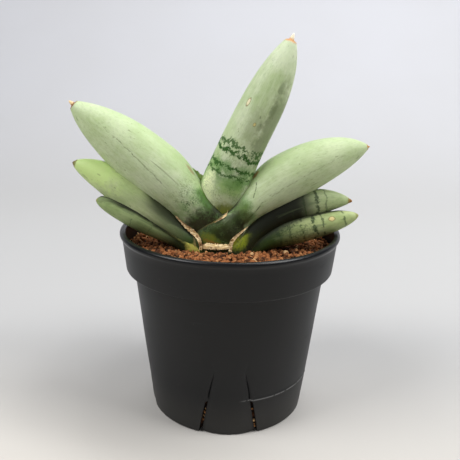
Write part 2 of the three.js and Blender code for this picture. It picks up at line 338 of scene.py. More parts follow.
# The path is drawn in the plane of the fan, in millimetres right of the crown and above it. The
# widths are half-widths in that plane, the clasp a half-depth across it, and the spine a length,
# all in millimetres. Every "_at", "_to" and "_end" is a share of the way along the leaf. A blunter
# tip has a larger blunt or a smaller taper_power, and the shoulder is how thick the spine starts,
# as a share of the flesh. The channel faces right where it is 1 and left where it is -1. Youngest
# leaf first.
PLAIN_LEAF = dict(full_to=0.0, roundness=0.86, groove_end=0.50, shoulder=0.50, taper_power=0.91)
LEAF_SHAPES = {
    "leaf_center": dict(
        channel=-1, root=(-3.2, 4.5), bend_low=(-14.0, 34.0), bend_high=(12.1, 63.9), base=9.5,
        neck=11.6, neck_at=0.34, belly=10.4, belly_at=0.53, blunt=5.0, clasp=4.6, roundness=0.9,
        groove=0.25, groove_end=0.3, spine=2.6,
    ),
    "leaf_left_upper": dict(
        channel=1, root=(-3.0, 6.0), bend_low=(-16.8, 36.5), bend_high=(-55.1, 58.9), base=12.5,
        full_to=0.08, neck=10.2, neck_at=0.25, belly=13.4, belly_at=0.48, blunt=2.6, clasp=9.0,
        groove=0.35, groove_end=0.42, spine=3.4,
    ),
    "leaf_right_upper": dict(
        channel=-1, root=(-4.5, 4.0), bend_low=(-4.6, 25.5), bend_high=(35.7, 52.1), base=17.6,
        full_to=0.11, neck=7.0, neck_at=0.3, belly=12.0, belly_at=0.58, blunt=3.2, clasp=13.0,
        groove=0.3, groove_end=0.42, spine=1.0,
    ),
    "leaf_left_middle": dict(
        channel=1, root=(-5.5, 2.0), bend_low=(-20.0, 11.0), bend_high=(-43.5, 36.6), base=6.8,
        neck=5.2, neck_at=0.3, belly=9.7, belly_at=0.64, blunt=2.4, clasp=11.2, groove=0.7,
        spine=1.1, shoulder=0.8, taper_power=0.64,
    ),
    "leaf_right_middle": dict(
        channel=-1, root=(0.8, 2.5), bend_low=(7.0, 18.5), bend_high=(30.5, 34.0), base=8.6,
        neck=5.8, neck_at=0.27, belly=7.9, belly_at=0.6, blunt=2.7, clasp=13.6, groove=0.6,
        spine=1.5, shoulder=0.85, taper_power=0.78,
    ),
    "leaf_left_lower": dict(
        channel=1, root=(-4.0, 1.5), bend_low=(-20.0, 9.5), bend_high=(-45.0, 26.5), base=6.8,
        neck=5.4, neck_at=0.32, belly=7.3, belly_at=0.62, blunt=2.4, clasp=12.2, roundness=0.9,
        groove=0.6, spine=0.8, shoulder=0.9, taper_power=0.62,
    ),
    "leaf_right_lower": dict(
        channel=-1, root=(0.5, -0.5), bend_low=(10.0, 14.0), bend_high=(33.5, 17.5), base=6.8,
        neck=5.2, neck_at=0.32, belly=6.9, belly_at=0.6, blunt=2.9, clasp=10.5, roundness=0.95,
        groove=0.5, spine=0.8, shoulder=0.9, taper_power=0.62,
    ),
}
GROOVE_HALF_ANGLE = math.radians(58)
BASE_SQUARENESS = 0.62
TAPER_FROM = 0.8  # the taper starts at this share of the way to the belly
SPINE_SHARPNESS = 0.55
CLOSED_BASE = 0.035
BASE_EVEN = 0.125  # below this share of the leaf its swellings fade out
SWELL = 0.020  # how much fatter or thinner the leaf gets here and there
SWELLS_PER_METRE = 55
FOLD = 0.006
FOLDS_PER_METRE = 260
FOLD_STRETCH = 0.12  # the folds run along the leaf
SHEET_RADIUS = 10.0 * MM
print(len(LEAF_SHAPES), "leaves start at", [round(v / MM, 1) for v in CROWN])

# %% [markdown]
# ## The laws of a leaf
# The path is a Bezier curve in the plane of the fan. The half-width follows three marks: the
# clasping base, the neck above it and the belly, each eased into the next, and then the taper. The
# section is an ellipse, boxier at the base, with the channel pressed into its upper side.


# %% Leaf laws
class Leaf:
    """The path and the section of one leaf."""

    def __init__(self, node, shape):
        self.shape = shape
        tip = tip_of(node)
        bends = [shape[mark] for mark in ("root", "bend_low", "bend_high")]
        marks = [CROWN + Vector((right, 0, up)) * MM for right, up in bends]
        self.path = [*marks, Vector((tip.x, 0, tip.z))]
        self.length = (self.path[3] - self.path[0]).length
        self.lean = tip.y
        self.spine_from = 1 - shape["spine"] * MM / self.length

    def point(self, t):
        a, b, c, d = self.path
        s = 1 - t
        return a * s**3 + b * 3 * s * s * t + c * 3 * s * t * t + d * t**3

    def heading(self, t):
        a, b, c, d = self.path
        s = 1 - t
        return ((b - a) * s * s + (c - b) * 2 * s * t + (d - c) * t * t).normalized()

    def taper(self, t):
        start = TAPER_FROM * self.shape["belly_at"]
        share = min(max((t - start) / (1 - start), 0.0), 1.0)
        return (1 - share ** self.shape["blunt"]) ** self.shape["taper_power"]

    def half_width(self, t):
        s = self.shape
        if t < s["neck_at"]:
            below = (t - s["full_to"]) / (s["neck_at"] - s["full_to"])
            width = between(s["base"], s["neck"], ease(below))
        else:
            above = (t - s["neck_at"]) / (s["belly_at"] - s["neck_at"])
            width = between(s["neck"], s["belly"], ease(above))
        return width * self.taper(t) * MM

    def half_depth(self, t):
        s = self.shape
        depth = between(s["clasp"], s["belly"] * s["roundness"], ease(t / s["belly_at"]))
        return depth * self.taper(t) * MM

    def surface(self, t, angle):
        """The skin at t along the leaf and angle round it: where it is, and its place on a
        straightened leaf."""
        s = self.shape
        flesh = min(t, self.spine_from)
        wide, deep = self.half_width(flesh), self.half_depth(flesh)
        if t > self.spine_from:  # the horny spine is slimmer than the flesh it stands on
            slim = s["shoulder"] * ((1 - t) / (1 - self.spine_from)) ** SPINE_SHARPNESS
            wide, deep = wide * slim, deep * slim
        closing = math.sqrt(min(1.0, t / CLOSED_BASE))
        corner = 2 / between(BASE_SQUARENESS, 1.0, ease(t / s["belly_at"]))
        cosine, sine = math.cos(angle), math.sin(angle)
        reach = (abs(cosine) ** corner + abs(sine) ** corner) ** (-1 / corner)
        rise, across = reach * cosine, reach * sine
        from_top = min(angle, math.tau - angle)
        if from_top < GROOVE_HALF_ANGLE:
            press = s["groove"] * (1 - ease(t / s["groove_end"]))
            rise -= press * math.cos(math.pi / 2 * from_top / GROOVE_HALF_ANGLE) ** 2
        rise *= wide * closing
        across *= deep * closing
        straight = Vector((rise, across, t * self.length))
        own = Vector((0, 0, self.length * 90))  # so that no two leaves swell alike
        swell = noise.noise(straight * SWELLS_PER_METRE + own)
        fold = noise.noise(Vector((rise, across, straight.z * FOLD_STRETCH)) * FOLDS_PER_METRE)
        fuller = 1 + (SWELL * swell + FOLD * fold) * min(1.0, t / BASE_EVEN)
        along = self.heading(t)
        up = Vector((-along.z, 0, along.x)) * -s["channel"]
        spot = self.point(t) + up * rise * fuller
        spot.y = self.lean * t + across * fuller
        return spot, straight

    def unrolled(self, t, angle):
        """The same place on the skin when it is cut open along its top and laid flat."""
        return Vector((angle * SHEET_RADIUS, t * self.length, 0))


def rolled_leaf(leaf):
    shape = bmesh.new()
    straight = shape.verts.layers.float_vector.new("straight")
    unrolled = shape.verts.layers.float_vector.new("unrolled")
    along = shape.verts.layers.float.new("along")
    shape.verts.layers.float.new("margin")
    bmesh.ops.create_grid(shape, x_segments=AROUND, y_segments=ALONG, size=0.5)
    for vert in shape.verts:
        t = min(max(vert.co.y + 0.5, 0.0), 1.0)
        angle = (vert.co.x + 0.5) * math.tau
        vert.co, vert[straight] = leaf.surface(t, angle)
        vert[unrolled] = leaf.unrolled(t, angle)
        vert[along] = t
    bmesh.ops.remove_doubles(shape, verts=shape.verts, dist=0.002 * MM)
    bmesh.ops.recalc_face_normals(shape, faces=shape.faces)
    return shape


leaves = {node: Leaf(node, {**PLAIN_LEAF, **shape}) for node, shape in LEAF_SHAPES.items()}
leaf_skins = {node: rolled_leaf(leaf) for node, leaf in leaves.items()}
for node, leaf in leaves.items():
    print(node, "is", round(leaf.length / MM), "mm from root to tip")

# %% [markdown]
# ## Where one leaf clasps another
# The edge of a clasping base is thin and dries first: it is where the papery brown line runs. That
# edge is wherever the older leaf's skin comes out against a younger leaf, so it is found by
# measuring, for every point of the older skin, how near the younger skins are. The skin there is
# also raised into a fine ragged lip.

# %% Margins
MARGIN_REACH = 3.0 * MM
LIP_HEIGHT = 0.32 * MM
LIP_WIDTH = 0.5 * MM
LIP_RAGGED = 0.5
LIP_TEETH_PER_METRE = 900


def finish_margins():
    younger = []
    touched = 0
    for skin in leaf_skins.values():
        margin = skin.verts.layers.float["margin"]
        for vert in skin.verts:
            nearest = [tree.find_nearest(vert.co, 4 * MARGIN_REACH) for tree in younger]
            nearest = [found for found in nearest if found[0] is not None]
            if not nearest:
                continue
            spot, normal, _face, gap = min(nearest, key=lambda found: found[3])
            vert[margin] = max(0.0, 1 - gap / MARGIN_REACH)
            above = gap if (vert.co - spot).dot(normal) > 0 else -gap
            ragged = 1 + LIP_RAGGED * noise.noise(vert.co * LIP_TEETH_PER_METRE)
            vert.co += normal * LIP_HEIGHT * ragged * math.exp(-((above / LIP_WIDTH) ** 2))
            touched += gap < MARGIN_REACH
        younger.append(BVHTree.FromBMesh(skin))
    return touched


print(finish_margins(), "points of skin lie close against a younger leaf")

# %% [markdown]
# ## Painted shade under the leaves
# Under another leaf the skin lies in shade, so that shade is painted into its colour, and the skin
# is made duller there. How deep a point lies is measured by feeling upwards from it in a few
# directions, and counting how soon another leaf is met. Skin that faces down counts for little,
# since its own leaf shelters it, and so does skin above the height where the leaves part.

# %% Painted shade under the leaves
FEELER = 17.0 * MM
FEELER_START = 1.0 * MM
RAYS = ((0, 0, 1), (0, 0.4, 1), (0, -0.3, 1), (-0.8, 0, 1), (0.8, 0, 1))
FEELERS = [Vector(ray).normalized() for ray in RAYS]
OPEN_ABOVE = 113.0 * MM  # higher up the leaves stand clear of each other
SHUT_BELOW = 98.0 * MM
SHELTERED = -0.40  # skin whose slope is below this faces down, and counts for nothing
EXPOSED = 0.20  # skin whose slope is above this counts in full


def tree_of_others(node):
    joined = bmesh.new()
    for other, skin in leaf_skins.items():
        if other != node:
            mesh = bpy.data.meshes.new("joined")
            skin.to_mesh(mesh)
            joined.from_mesh(mesh)
            bpy.data.meshes.remove(mesh)
    tree = BVHTree.FromBMesh(joined)
    joined.free()
    return tree


def measure_painted_shade():
    for node, skin in leaf_skins.items():
        tree = tree_of_others(node)
        painted_shade = skin.verts.layers.float.new("painted_shade")
        deepest = 0.0
        skin.normal_update()
        for vert in skin.verts:
            start = vert.co + vert.normal * FEELER_START
            gaps = [tree.ray_cast(start, ray, FEELER)[3] for ray in FEELERS]
            met = sum(1 - gap / FEELER for gap in gaps if gap is not None)
            low = ease((OPEN_ABOVE - vert.co.z) / (OPEN_ABOVE - SHUT_BELOW))
            facing = ease((vert.normal.z - SHELTERED) / (EXPOSED - SHELTERED))
            vert[painted_shade] = low * facing * met / len(FEELERS)
            deepest = max(deepest, vert[painted_shade])
        print(node, "lies at most", round(deepest, 2), "deep under the others")


measure_painted_shade()

# %% [markdown]
# ## Leaf skin
# The skin is a pale, waxy grey-green, mottled with darker flecks where the wax is thin, and crossed
# by jagged dark bands that fade as a leaf ages. A picture could be wrapped round each leaf, but it
# would stretch at the tip and show its seam. So each mark is worked out at every point, from the
# straightened place that was stored on the mesh: a pattern that follows the leaf, not the room.
# A skin keeps the colour that it has so far, and each law below covers some of it with another.


# %% Skin recipe
class Skin(Recipe):
    """The recipe of one leaf's skin, with the places and the noises that its marks share."""

    def __init__(self, node, look):
        super().__init__(node + "_skin")
        self.leaf = leaves[node]
        self.look = look
        self.straight = self.stored("straight", "Vector")
        self.along = self.stored("along")
        self.cloud = self.noise(self.straight, 60.0, 3.0, 0.6)
        self.blotch = self.noise(self.straight, 200.0, 3.0, 0.6)
        self.torn = self.noise(self.straight, 700.0, 3.0)
        self.ragged = self.noise(self.straight, 1300.0, 2.0)
        self.colour = look["pale"]

    def grain(self, squash, *settings):
        """A noise drawn out along the leaf: the smaller the squash, the longer its streaks."""
        return self.noise(self.stretched(self.straight, (1.0, 1.0, squash)), *settings)

    def cover(self, mask, colour):
        """Lays a colour over the colour so far, where the mask is 1."""
        self.colour = self.mix(mask, self.colour, colour)


# %% [markdown]
# ### The ground colours
# Pale bloom lies over green in soft clouds and long faint streaks. The upper side is a fresher
# green, except on the left lower leaf, where the same law paints the shadow of the leaf above it.
# Towards the clasping base the bloom ends and the colour warms on the youngest leaf and darkens on
# the others; on the middle leaves and the left lower leaf, which lie under others, that darkening
# is painted shade. Some leaves have a belt of haze where the green shows through.


# %% Ground colours
def lay_bloom(skin, streaks, fine):
    clouded = skin.cloud.ramp(0.32, 0.68) * 0.7 + streaks.ramp(0.35, 0.7) * 0.2
    skin.cover(clouded, skin.look["flush"])
    skin.cover(fine.ramp(0.45, 0.75) * 0.22, skin.look["deep"])


def lay_crest(skin):
    """The upper side. Its colour comes in between two heights on the section, in millimetres, and
    it stops at a share of the way along the leaf."""
    crest, low, high, strength, end = skin.look["crest"]
    uneven = (skin.cloud - 0.5) * (high - low) * MM
    crested = (skin.axis(skin.straight, "X") + uneven).ramp(low * MM, high * MM)
    crested = crested * skin.along.ramp(end + 0.08, end - 0.08)
    skin.cover(crested * strength, paint(*crest))


def lay_base_and_haze(skin):
    wander = (skin.cloud - 0.5) * 0.12
    base, full, end = skin.look["base"]
    skin.cover(1 - (skin.along + wander).ramp(full, end), paint(*base))
    strength, middle, half = skin.look["haze"]
    hazy = (skin.along + wander * 0.4 - middle).size().ramp(half, half * 0.3)
    skin.cover(hazy * strength * skin.blotch.ramp(0.36, 0.6), paint(84, 138, 50))


# %% [markdown]
# ### Stains, mottle, bands and flecks
# Stains are soft ragged patches where the leaf is blanched, flushed or dirty. Some of the dark ones
# are painted shade, where a leaf lies under another or turns from the light, and the pale ones on
# the youngest leaf's left flank are partly painted light. The mottle is a net of deeper green that
# thins out higher up. A cross band is a dark line with a toothed edge, broken here and there. Fine
# flecks and a few long healed scratches lie over all of them.


# %% Stains, mottle, bands and flecks
def lay_stains(skin):
    for spot, size, stain, strength in skin.look["stains"]:
        away = skin.away_from_spot(skin.straight, spot, size)
        away = away + (skin.blotch - 0.5) * 0.9 + (skin.torn - 0.5) * 0.6
        skin.cover(away.ramp(1.15, 0.45) * strength, paint(*stain))


def lay_mottle(skin):
    strength, full, end = skin.look["mottle"]
    worm = (skin.grain(0.7, 600.0, 2.0, 0.5, 1.2) - 0.5).size()
    dots = skin.noise(skin.straight, 1500.0, 2.0).ramp(0.50, 0.62)
    patches = skin.noise(skin.straight, 150.0, 3.0).ramp(0.38, 0.60)
    low = 1 - skin.along.ramp(full, end)
    net = (worm.ramp(0.055, 0.02) * 0.8 + dots * 0.55) * patches * (low * 0.94 + 0.06)
    skin.cover(net * strength, skin.look["deep"])


def lay_bands(skin):
    drift = (skin.noise(skin.straight, 170.0, 1.0) - 0.5) * 0.055
    teeth = (skin.grain(0.5, 620.0, 3.0, 0.62) - 0.5) * 0.05
    wave = skin.along + drift + teeth * skin.look["jag"]
    for centre, half, strength in skin.look["bands"]:
        line = (wave - centre).size() + (skin.ragged - 0.5) * half * 2.4
        elsewhere = skin.stretched(skin.straight, (1.0, 1.0, 1.0), (centre, 0, 0))
        gaps = skin.noise(elsewhere, 420.0).ramp(*skin.look["broken"])
        skin.cover(line.ramp(half, half * 0.35) * strength * gaps, skin.look["deep"])


def lay_flecks(skin, fleck):
    flecked = skin.noise(skin.straight, 90.0, 2.0).ramp(0.42, 0.62)
    skin.cover(fleck * flecked * 0.6, paint(92, 108, 74))
    scratch = skin.grain(0.03, 480.0, 1.0).ramp(0.725, 0.745)
    skin.cover(scratch * 0.45, paint(100, 116, 80))


# %% [markdown]
# ### Creases and scars
# A crease is a line of painted shade where the skin has folded. It is drawn between two points of
# the skin cut open along its top and laid flat. A healed scar is cream cork inside a brown rim.
# Both also shape the surface, so each law gives back how deep or how high it goes.


# %% Creases and scars
def lay_creases(skin):
    folded = 0.0
    sheet = skin.wobbled(skin.stored("unrolled", "Vector"), 260.0, 1.6 * MM)
    for *marks, half, strength in skin.look["creases"]:
        ends = [skin.leaf.unrolled(t, math.radians(angle)) for t, angle in marks]
        line = skin.away_from_line(sheet, *ends).ramp(half * MM, half * 0.3 * MM)
        # Painted shade: the fold is painted dark along its line.
        skin.cover(line * strength * skin.ragged.ramp(0.3, 0.5), paint(56, 68, 34))
        folded = folded + line * strength
    return folded


def lay_scars(skin):
    cork = 0.0
    rim_noise = (skin.noise(skin.straight, 1200.0, 2.0) - 0.5) * 0.6
    for spot, size, core in skin.look["scars"]:
        away = skin.away_from_spot(skin.straight, spot, size) + rim_noise
        skin.cover(away.ramp(1.25, 1.0) * 0.8, paint(128, 116, 66))
        skin.cover(away.ramp(0.95, 0.7), paint(*core))
        cork = cork + away.ramp(1.1, 0.6)
    return cork


# %% [markdown]
# ### Dry edge, shade, spine and finish
# The thin edge where the base clasps a younger leaf dries to paper. Deep between the leaves shade
# is painted into the skin, which is also made duller there. The tip is a horny spine on a brown
# collar. Then the surface is finished with a waxy sheen, a fine relief and the little light that
# fleshy tissue lets through.


# %% Dry edge, shade, spine and finish
def lay_dry_edge(skin):
    look = skin.look
    near = skin.stored("margin") + (skin.torn - 0.5) * 0.25
    papery = near.ramp(look["edge_from"], look["edge_from"] + 0.15)
    dry = papery * (1 - skin.along.ramp(0.3, 0.5))
    skin.cover(dry * look["edge_strength"], paint(*look["edge"]))
    return dry


def lay_shade(skin, painted_shade):
    strength, start, full = skin.look["shade"]
    # Painted shade: the skin is painted dark where other leaves lie above it.
    skin.cover(painted_shade.ramp(start, full) * strength, paint(17, 22, 6))


def lay_spine(skin):
    start = skin.leaf.spine_from
    collar, tip = skin.look["horn"]
    uneven = skin.along + (skin.noise(skin.straight, 1500.0, 2.0) - 0.5) * 0.012
    skin.cover(uneven.ramp(start - 0.010, start - 0.002), paint(*collar))
    skin.cover(uneven.ramp(start + 0.001, start + 0.010), paint(*tip))
    return skin.along.ramp(start - 0.01, start)


def leaf_skin(node, look):
    skin = Skin(node, look)
    streaks = skin.grain(0.05, 800.0, 2.0)
    fine = skin.grain(0.3, 1700.0, 3.0, 0.7)
    fleck = skin.grain(0.4, 1300.0, 2.0, 0.6).ramp(0.66, 0.72)
    painted_shade = skin.stored("painted_shade")
    lay_bloom(skin, streaks, fine)
    lay_crest(skin)
    lay_base_and_haze(skin)
    lay_stains(skin)
    lay_mottle(skin)
    lay_bands(skin)
    lay_flecks(skin, fleck)
    folded = lay_creases(skin)
    cork = lay_scars(skin)
    dry = lay_dry_edge(skin)
    lay_shade(skin, painted_shade)
    horny = lay_spine(skin)
    relief = streaks * 0.6 + fine * 0.4 + skin.cloud - fleck * 0.3 + cork * 1.2 - folded * 2.5
    return skin.surface(
        Base_Color=skin.colour, Normal=skin.bump(relief, 0.14 * MM, 0.5),
        Roughness=0.44 + skin.cloud * 0.12 + dry * 0.3 + horny * 0.2 + painted_shade * 0.4,
        IOR=1.42, Subsurface_Weight=0.12, Subsurface_Radius=(0.6, 1.0, 0.35),
        Subsurface_Scale=2.0 * MM, Specular_IOR_Level=0.38,
    )


# %% [markdown]
# ### The seven looks
# A look is a list of colours and marks. A place on a leaf is (towards its upper side, towards the
# back, along it from the root), in millimetres. A band is (share of the way along, half its width,
# strength). A stain is (place, size, colour, strength), and a scar the same without a strength. A
# crease is two ends, each (share along, degrees round from the top), then half its width and its
# strength. The base, mottle and haze end at shares of the way along.

# %% Looks of the leaves
PLAIN_LOOK = dict(
    bands=(), scars=(), stains=(), creases=(), jag=1.0, broken=(0.30, 0.42),
    crest=((164, 188, 128), 5.0, 11.0, 0.5, 1.0), haze=(0.0, 0.5, 0.1),
    shade=(0.88, 0.02, 0.45), edge=(150, 100, 55), edge_strength=0.8, edge_from=0.72,
)
PALE = paint(201, 214, 177)
FLUSH = paint(170, 189, 137)
CREAM = (232, 222, 184)
LOOKS = {
    "leaf_center": dict(
        pale=paint(210, 220, 188), flush=paint(164, 184, 132), deep=paint(44, 88, 24),
        bands=((0.562, 0.010, 0.9), (0.532, 0.017, 1.0), (0.464, 0.011, 0.95),
               (0.432, 0.009, 0.85)),
        mottle=(0.34, 0.50, 0.53), haze=(0.7, 0.44, 0.08), base=((168, 164, 56), 0.20, 0.30),
        shade=(0.20, 0.02, 0.45),
        # Partly painted light: the first two stains are the pale skin of the lower left flank,
        # painted paler still where the lamp falls.
        stains=(((8.2, -5.8, 36.0), (4.0, 4.8, 10.0), (242, 250, 202), 0.92),
                ((5.6, -6.8, 33.0), (6.0, 5.0, 8.0), (216, 230, 178), 0.5),
                ((-2.0, -8.3, 39.0), (8.0, 5.0, 6.0), (140, 186, 88), 0.6),
                ((-3.0, -8.2, 43.0), (6.0, 4.0, 4.5), (92, 144, 60), 0.6),
                ((-1.5, -7.9, 34.0), (4.5, 5.0, 3.5), (196, 208, 166), 0.6),
                ((-3.0, -7.0, 26.0), (7.0, 5.5, 6.5), (116, 126, 36), 0.85),
                # Painted shade: this stain and the last one darken the right flank, which turns
                # from the light.
                ((-7.6, -6.0, 71.0), (6.0, 6.0, 21.0), (114, 126, 90), 0.75),
                ((-4.0, -7.0, 87.5), (1.8, 3.0, 2.8), (106, 122, 82), 0.6),
                ((-4.8, -7.9, 78.5), (1.7, 3.0, 3.6), (102, 116, 78), 0.55),
                ((-2.5, -8.2, 70.5), (1.5, 3.0, 3.0), (112, 124, 88), 0.45),
                ((-0.7, -3.9, 99.0), (7.0, 7.0, 9.0), (226, 232, 210), 0.35),
                ((0.0, -9.2, 69.0), (4.5, 4.0, 9.0), (126, 138, 98), 0.45)),
        scars=(((6.6, -6.8, 77.2), (0.8, 0.8, 1.7), CREAM),
               ((-0.1, -9.3, 70.5), (0.65, 0.65, 0.75), (196, 186, 124))),
        horn=((198, 146, 94), (244, 234, 212)),
    ),
    "leaf_left_upper": dict(
        pale=PALE, flush=FLUSH, deep=paint(78, 104, 56), mottle=(1.0, 0.26, 0.42),
        haze=(0.5, 0.25, 0.09), base=((58, 60, 26), 0.10, 0.26), edge=(116, 124, 66),
        edge_strength=0.4,
        creases=(((0.80, 284), (0.60, 274), 0.30, 0.45), ((0.60, 274), (0.40, 266), 0.30, 0.4)),
        stains=(((7.8, -7.6, 23.5), (4.2, 4.5, 9.0), (66, 112, 20), 0.9),
                ((8.5, -7.5, 15.5), (6.0, 5.0, 5.0), (44, 62, 12), 0.9),
                # Painted shadow: this near-black stain lies at the base, between this leaf and the
                # right upper leaf's sheath.
                ((-1.0, -9.8, 16.5), (12.0, 6.0, 9.2), (36, 34, 10), 0.92),
                ((11.4, -3.0, 37.5), (1.1, 1.6, 4.0), (150, 120, 76), 0.7)),
        horn=((122, 72, 32), (236, 206, 160)),
    ),
    "leaf_right_upper": dict(
        pale=paint(198, 211, 172), flush=paint(167, 186, 134), deep=paint(72, 96, 50),
        mottle=(0.8, 0.26, 0.46),
        haze=(0.6, 0.33, 0.10), base=((42, 54, 10), 0.17, 0.29), edge=(120, 96, 46),
        edge_strength=0.55, edge_from=0.84,
        stains=(((3.2, -10.8, 29.0), (4.6, 5.0, 5.5), (78, 108, 32), 0.85),
                # Partly painted shade: the darkest stains on the sheath below are partly its own
                # dark olive and partly painted shade under the crown; the near-black one is painted
                # shadow.
                ((0.5, -11.2, 26.0), (4.5, 5.0, 4.5), (52, 60, 16), 0.85),
                ((2.0, -11.4, 22.0), (6.5, 5.0, 6.0), (40, 54, 10), 0.9),
                ((7.0, -11.5, 17.0), (5.5, 4.5, 5.5), (46, 60, 10), 0.85),
                ((-2.5, -11.2, 20.5), (4.5, 5.0, 6.5), (24, 25, 4), 0.92),
                ((0.5, -12.2, 15.0), (6.0, 5.0, 5.0), (34, 38, 6), 0.85),
                ((7.0, -12.2, 10.6), (6.0, 4.5, 2.7), (112, 120, 32), 0.85),
                ((-2.0, -10.8, 29.0), (2.6, 4.0, 3.4), (62, 66, 20), 0.65),
                ((-5.2, -12.0, 14.5), (2.4, 5.0, 6.0), (146, 152, 44), 0.9),
                ((2.0, -12.7, 9.4), (9.0, 4.0, 1.1), (140, 96, 42), 0.8),
                ((10.2, -2.8, 41.2), (1.9, 2.4, 2.2), (150, 106, 58), 0.85)),
        creases=(((0.466, 317), (0.444, 304), 0.40, 0.8), ((0.444, 304), (0.416, 292), 0.36, 0.7),
                 ((0.435, 263), (0.366, 252), 0.42, 0.75), ((0.366, 252), (0.300, 249), 0.38, 0.6),
                 ((0.86, 270), (0.66, 264), 0.26, 0.3), ((0.66, 264), (0.44, 263), 0.28, 0.35)),
        horn=((170, 124, 70), (198, 150, 92)),
    ),
    "leaf_left_middle": dict(
        pale=paint(196, 208, 160), flush=paint(152, 172, 118), deep=paint(66, 88, 46),
        crest=((186, 214, 128), -1.0, 5.0, 0.25, 1.0),
        stains=(((0.5, -10.4, 16.5), (4.0, 4.5, 4.5), (150, 146, 66), 0.9),
                ((2.0, -3.5, 75.0), (9.0, 9.0, 17.0), (198, 224, 142), 0.75)),
        # Painted shade: this leaf lies under the left upper one, so its dark base is painted shade.
        mottle=(0.6, 0.1, 0.5), base=((50, 74, 28), 0.22, 0.62), edge=(150, 130, 90),
        edge_strength=0.6, edge_from=0.8, horn=((128, 128, 76), (116, 96, 64)),
    ),
    "leaf_right_middle": dict(
        pale=paint(182, 194, 148), flush=paint(146, 164, 112), deep=paint(46, 64, 34),
        bands=((0.775, 0.013, 0.85), (0.700, 0.009, 0.7), (0.833, 0.007, 0.5), (0.620, 0.007, 0.3)),
        # Painted shade: this leaf lies under the right upper one, so its dark base and its second
        # stain are painted shadow.
        jag=0.3, mottle=(0.6, 0.1, 0.6), base=((30, 34, 20), 0.65, 0.82), edge=(150, 150, 70),
        edge_strength=0.5, edge_from=0.88,
        stains=(((2.8, -11.7, 13.0), (4.2, 4.5, 7.0), (146, 160, 36), 0.95),
                ((-2.5, -9.8, 18.5), (4.5, 5.0, 5.5), (38, 46, 24), 0.8)),
        horn=((134, 122, 66), (136, 94, 48)),
    ),
    "leaf_left_lower": dict(
        pale=paint(166, 184, 130), flush=paint(128, 150, 92), deep=paint(54, 76, 40),
        # Painted shade: this leaf lies under the left middle one, so its dark crest colour, its
        # dark base and its first, near-black stain are painted shadow.
        shade=(0.92, 0.14, 0.48), jag=0.4, crest=((18, 22, 6), 0.8, 2.4, 0.94, 0.86),
        bands=((0.700, 0.006, 0.4), (0.560, 0.006, 0.3)), mottle=(0.6, 0.1, 0.6),
        base=((36, 47, 24), 0.34, 0.58), edge=(150, 150, 70), edge_strength=0.4, edge_from=0.84,
        stains=(((1.7, -7.0, 28.5), (1.8, 30.0, 13.0), (18, 22, 6), 0.9),
                ((2.3, -9.8, 15.5), (5.0, 4.5, 5.5), (208, 202, 96), 0.95)),
        horn=((138, 144, 88), (150, 146, 98)),
    ),
    "leaf_right_lower": dict(
        pale=paint(184, 194, 140), flush=paint(140, 158, 98), deep=paint(46, 66, 34),
        shade=(0.88, 0.06, 0.40), jag=0.5, broken=(0.42, 0.52),
        bands=((0.730, 0.013, 0.9), (0.652, 0.010, 0.7), (0.494, 0.014, 0.8), (0.780, 0.009, 0.7),
               (0.910, 0.009, 0.7), (0.570, 0.009, 0.6)),
        mottle=(1.0, 0.50, 0.85), base=((54, 74, 28), 0.42, 0.70), edge=(150, 124, 76),
        edge_strength=0.5, edge_from=0.84,
        scars=(((2.5, -4.3, 54.9), (1.1, 1.1, 1.2), (206, 190, 134)),),
        horn=((138, 144, 88), (150, 146, 98)),
    ),
}
for node, sheet in leaf_skins.items():
    skin_material = leaf_skin(node, {**PLAIN_LOOK, **LOOKS[node]})
    set_piece(sheet, node + "_skin", node, skin_material, sharp_above=70.0)

# %% [markdown]
# ## The pot
# The pot is one thin injection moulding: a tapering body, a ledge, a straighter collar and a
# rolled lip. Near the foot four panels bulge between pairs of drainage slits. It could be carved
# out of a solid, but a moulding has one even wall, so its wall is what gets drawn here. The height
# and the lip come from the frame, and the rest are shares of them or the thicknesses that such
# pots are moulded at.

# %% Pot sizes, from the frame
pot_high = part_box("pot")[1]
POT_HEIGHT = pot_high.z
LIP_RADIUS = pot_high.x
WALL = 1.1 * MM
FLOOR_THICKNESS = 1.6 * MM
FLOOR_RINGS = (0.16, 0.34, 0.51, 0.60)  # shares of the lip's radius
FOOT_RADIUS = LIP_RADIUS * 0.722
FOOT_ROUND = 1.0 * MM
LEDGE_RADIUS = LIP_RADIUS * 0.876
LEDGE_HEIGHT = POT_HEIGHT * 0.793
LEDGE_ROUND = 0.4 * MM
COLLAR_LOW = LIP_RADIUS * 0.950
COLLAR_HIGH = LIP_RADIUS * 0.979
COLLAR_ROUND = 1.1 * MM
COLLAR_INNER_ROUND = 0.8 * MM
LIP_BOTTOM = POT_HEIGHT - 3.4 * MM
BEAD = 1.45 * MM
PARTING_HEIGHT = POT_HEIGHT * 0.21
FLASH = 0.20 * MM  # the mould's two halves leave a fine line of it
FLASH_HALF_WIDTH = 0.35 * MM
FLASH_FROM = math.radians(12)
SLIT_HEIGHT = POT_HEIGHT * 0.2
SLIT_REACH = LIP_RADIUS * 0.51  # how near the axis the slits run under the floor
SLIT_LEAN = 0.46  # a panel narrows to this share of its width where the relief ends
RELIEF_HEIGHT = POT_HEIGHT * 0.39
RELIEF_FADE = 0.6
SETTLE = 22.0 * MM  # above the relief the columns of the wall drift back to their places
CREASE_CLOSES = 4.0 * MM
CREASE_PINCH = 0.34
CREASE_DEPTH = 1.1 * MM
PANEL_SINK = 1.5 * MM
SINK_SHARPNESS = 2.4
PANELS = 4
QUARTER = math.tau / PANELS
PANEL_AZIMUTH = math.radians(1.7)
TURNS = 192
STEP = math.tau / TURNS
SLIT = 11 * STEP  # a slit is this far either side of its panel's middle
WELD = 0.01 * MM
print("pot", round(2 * LIP_RADIUS / MM, 1), "mm across,", round(POT_HEIGHT / MM, 1), "mm high")

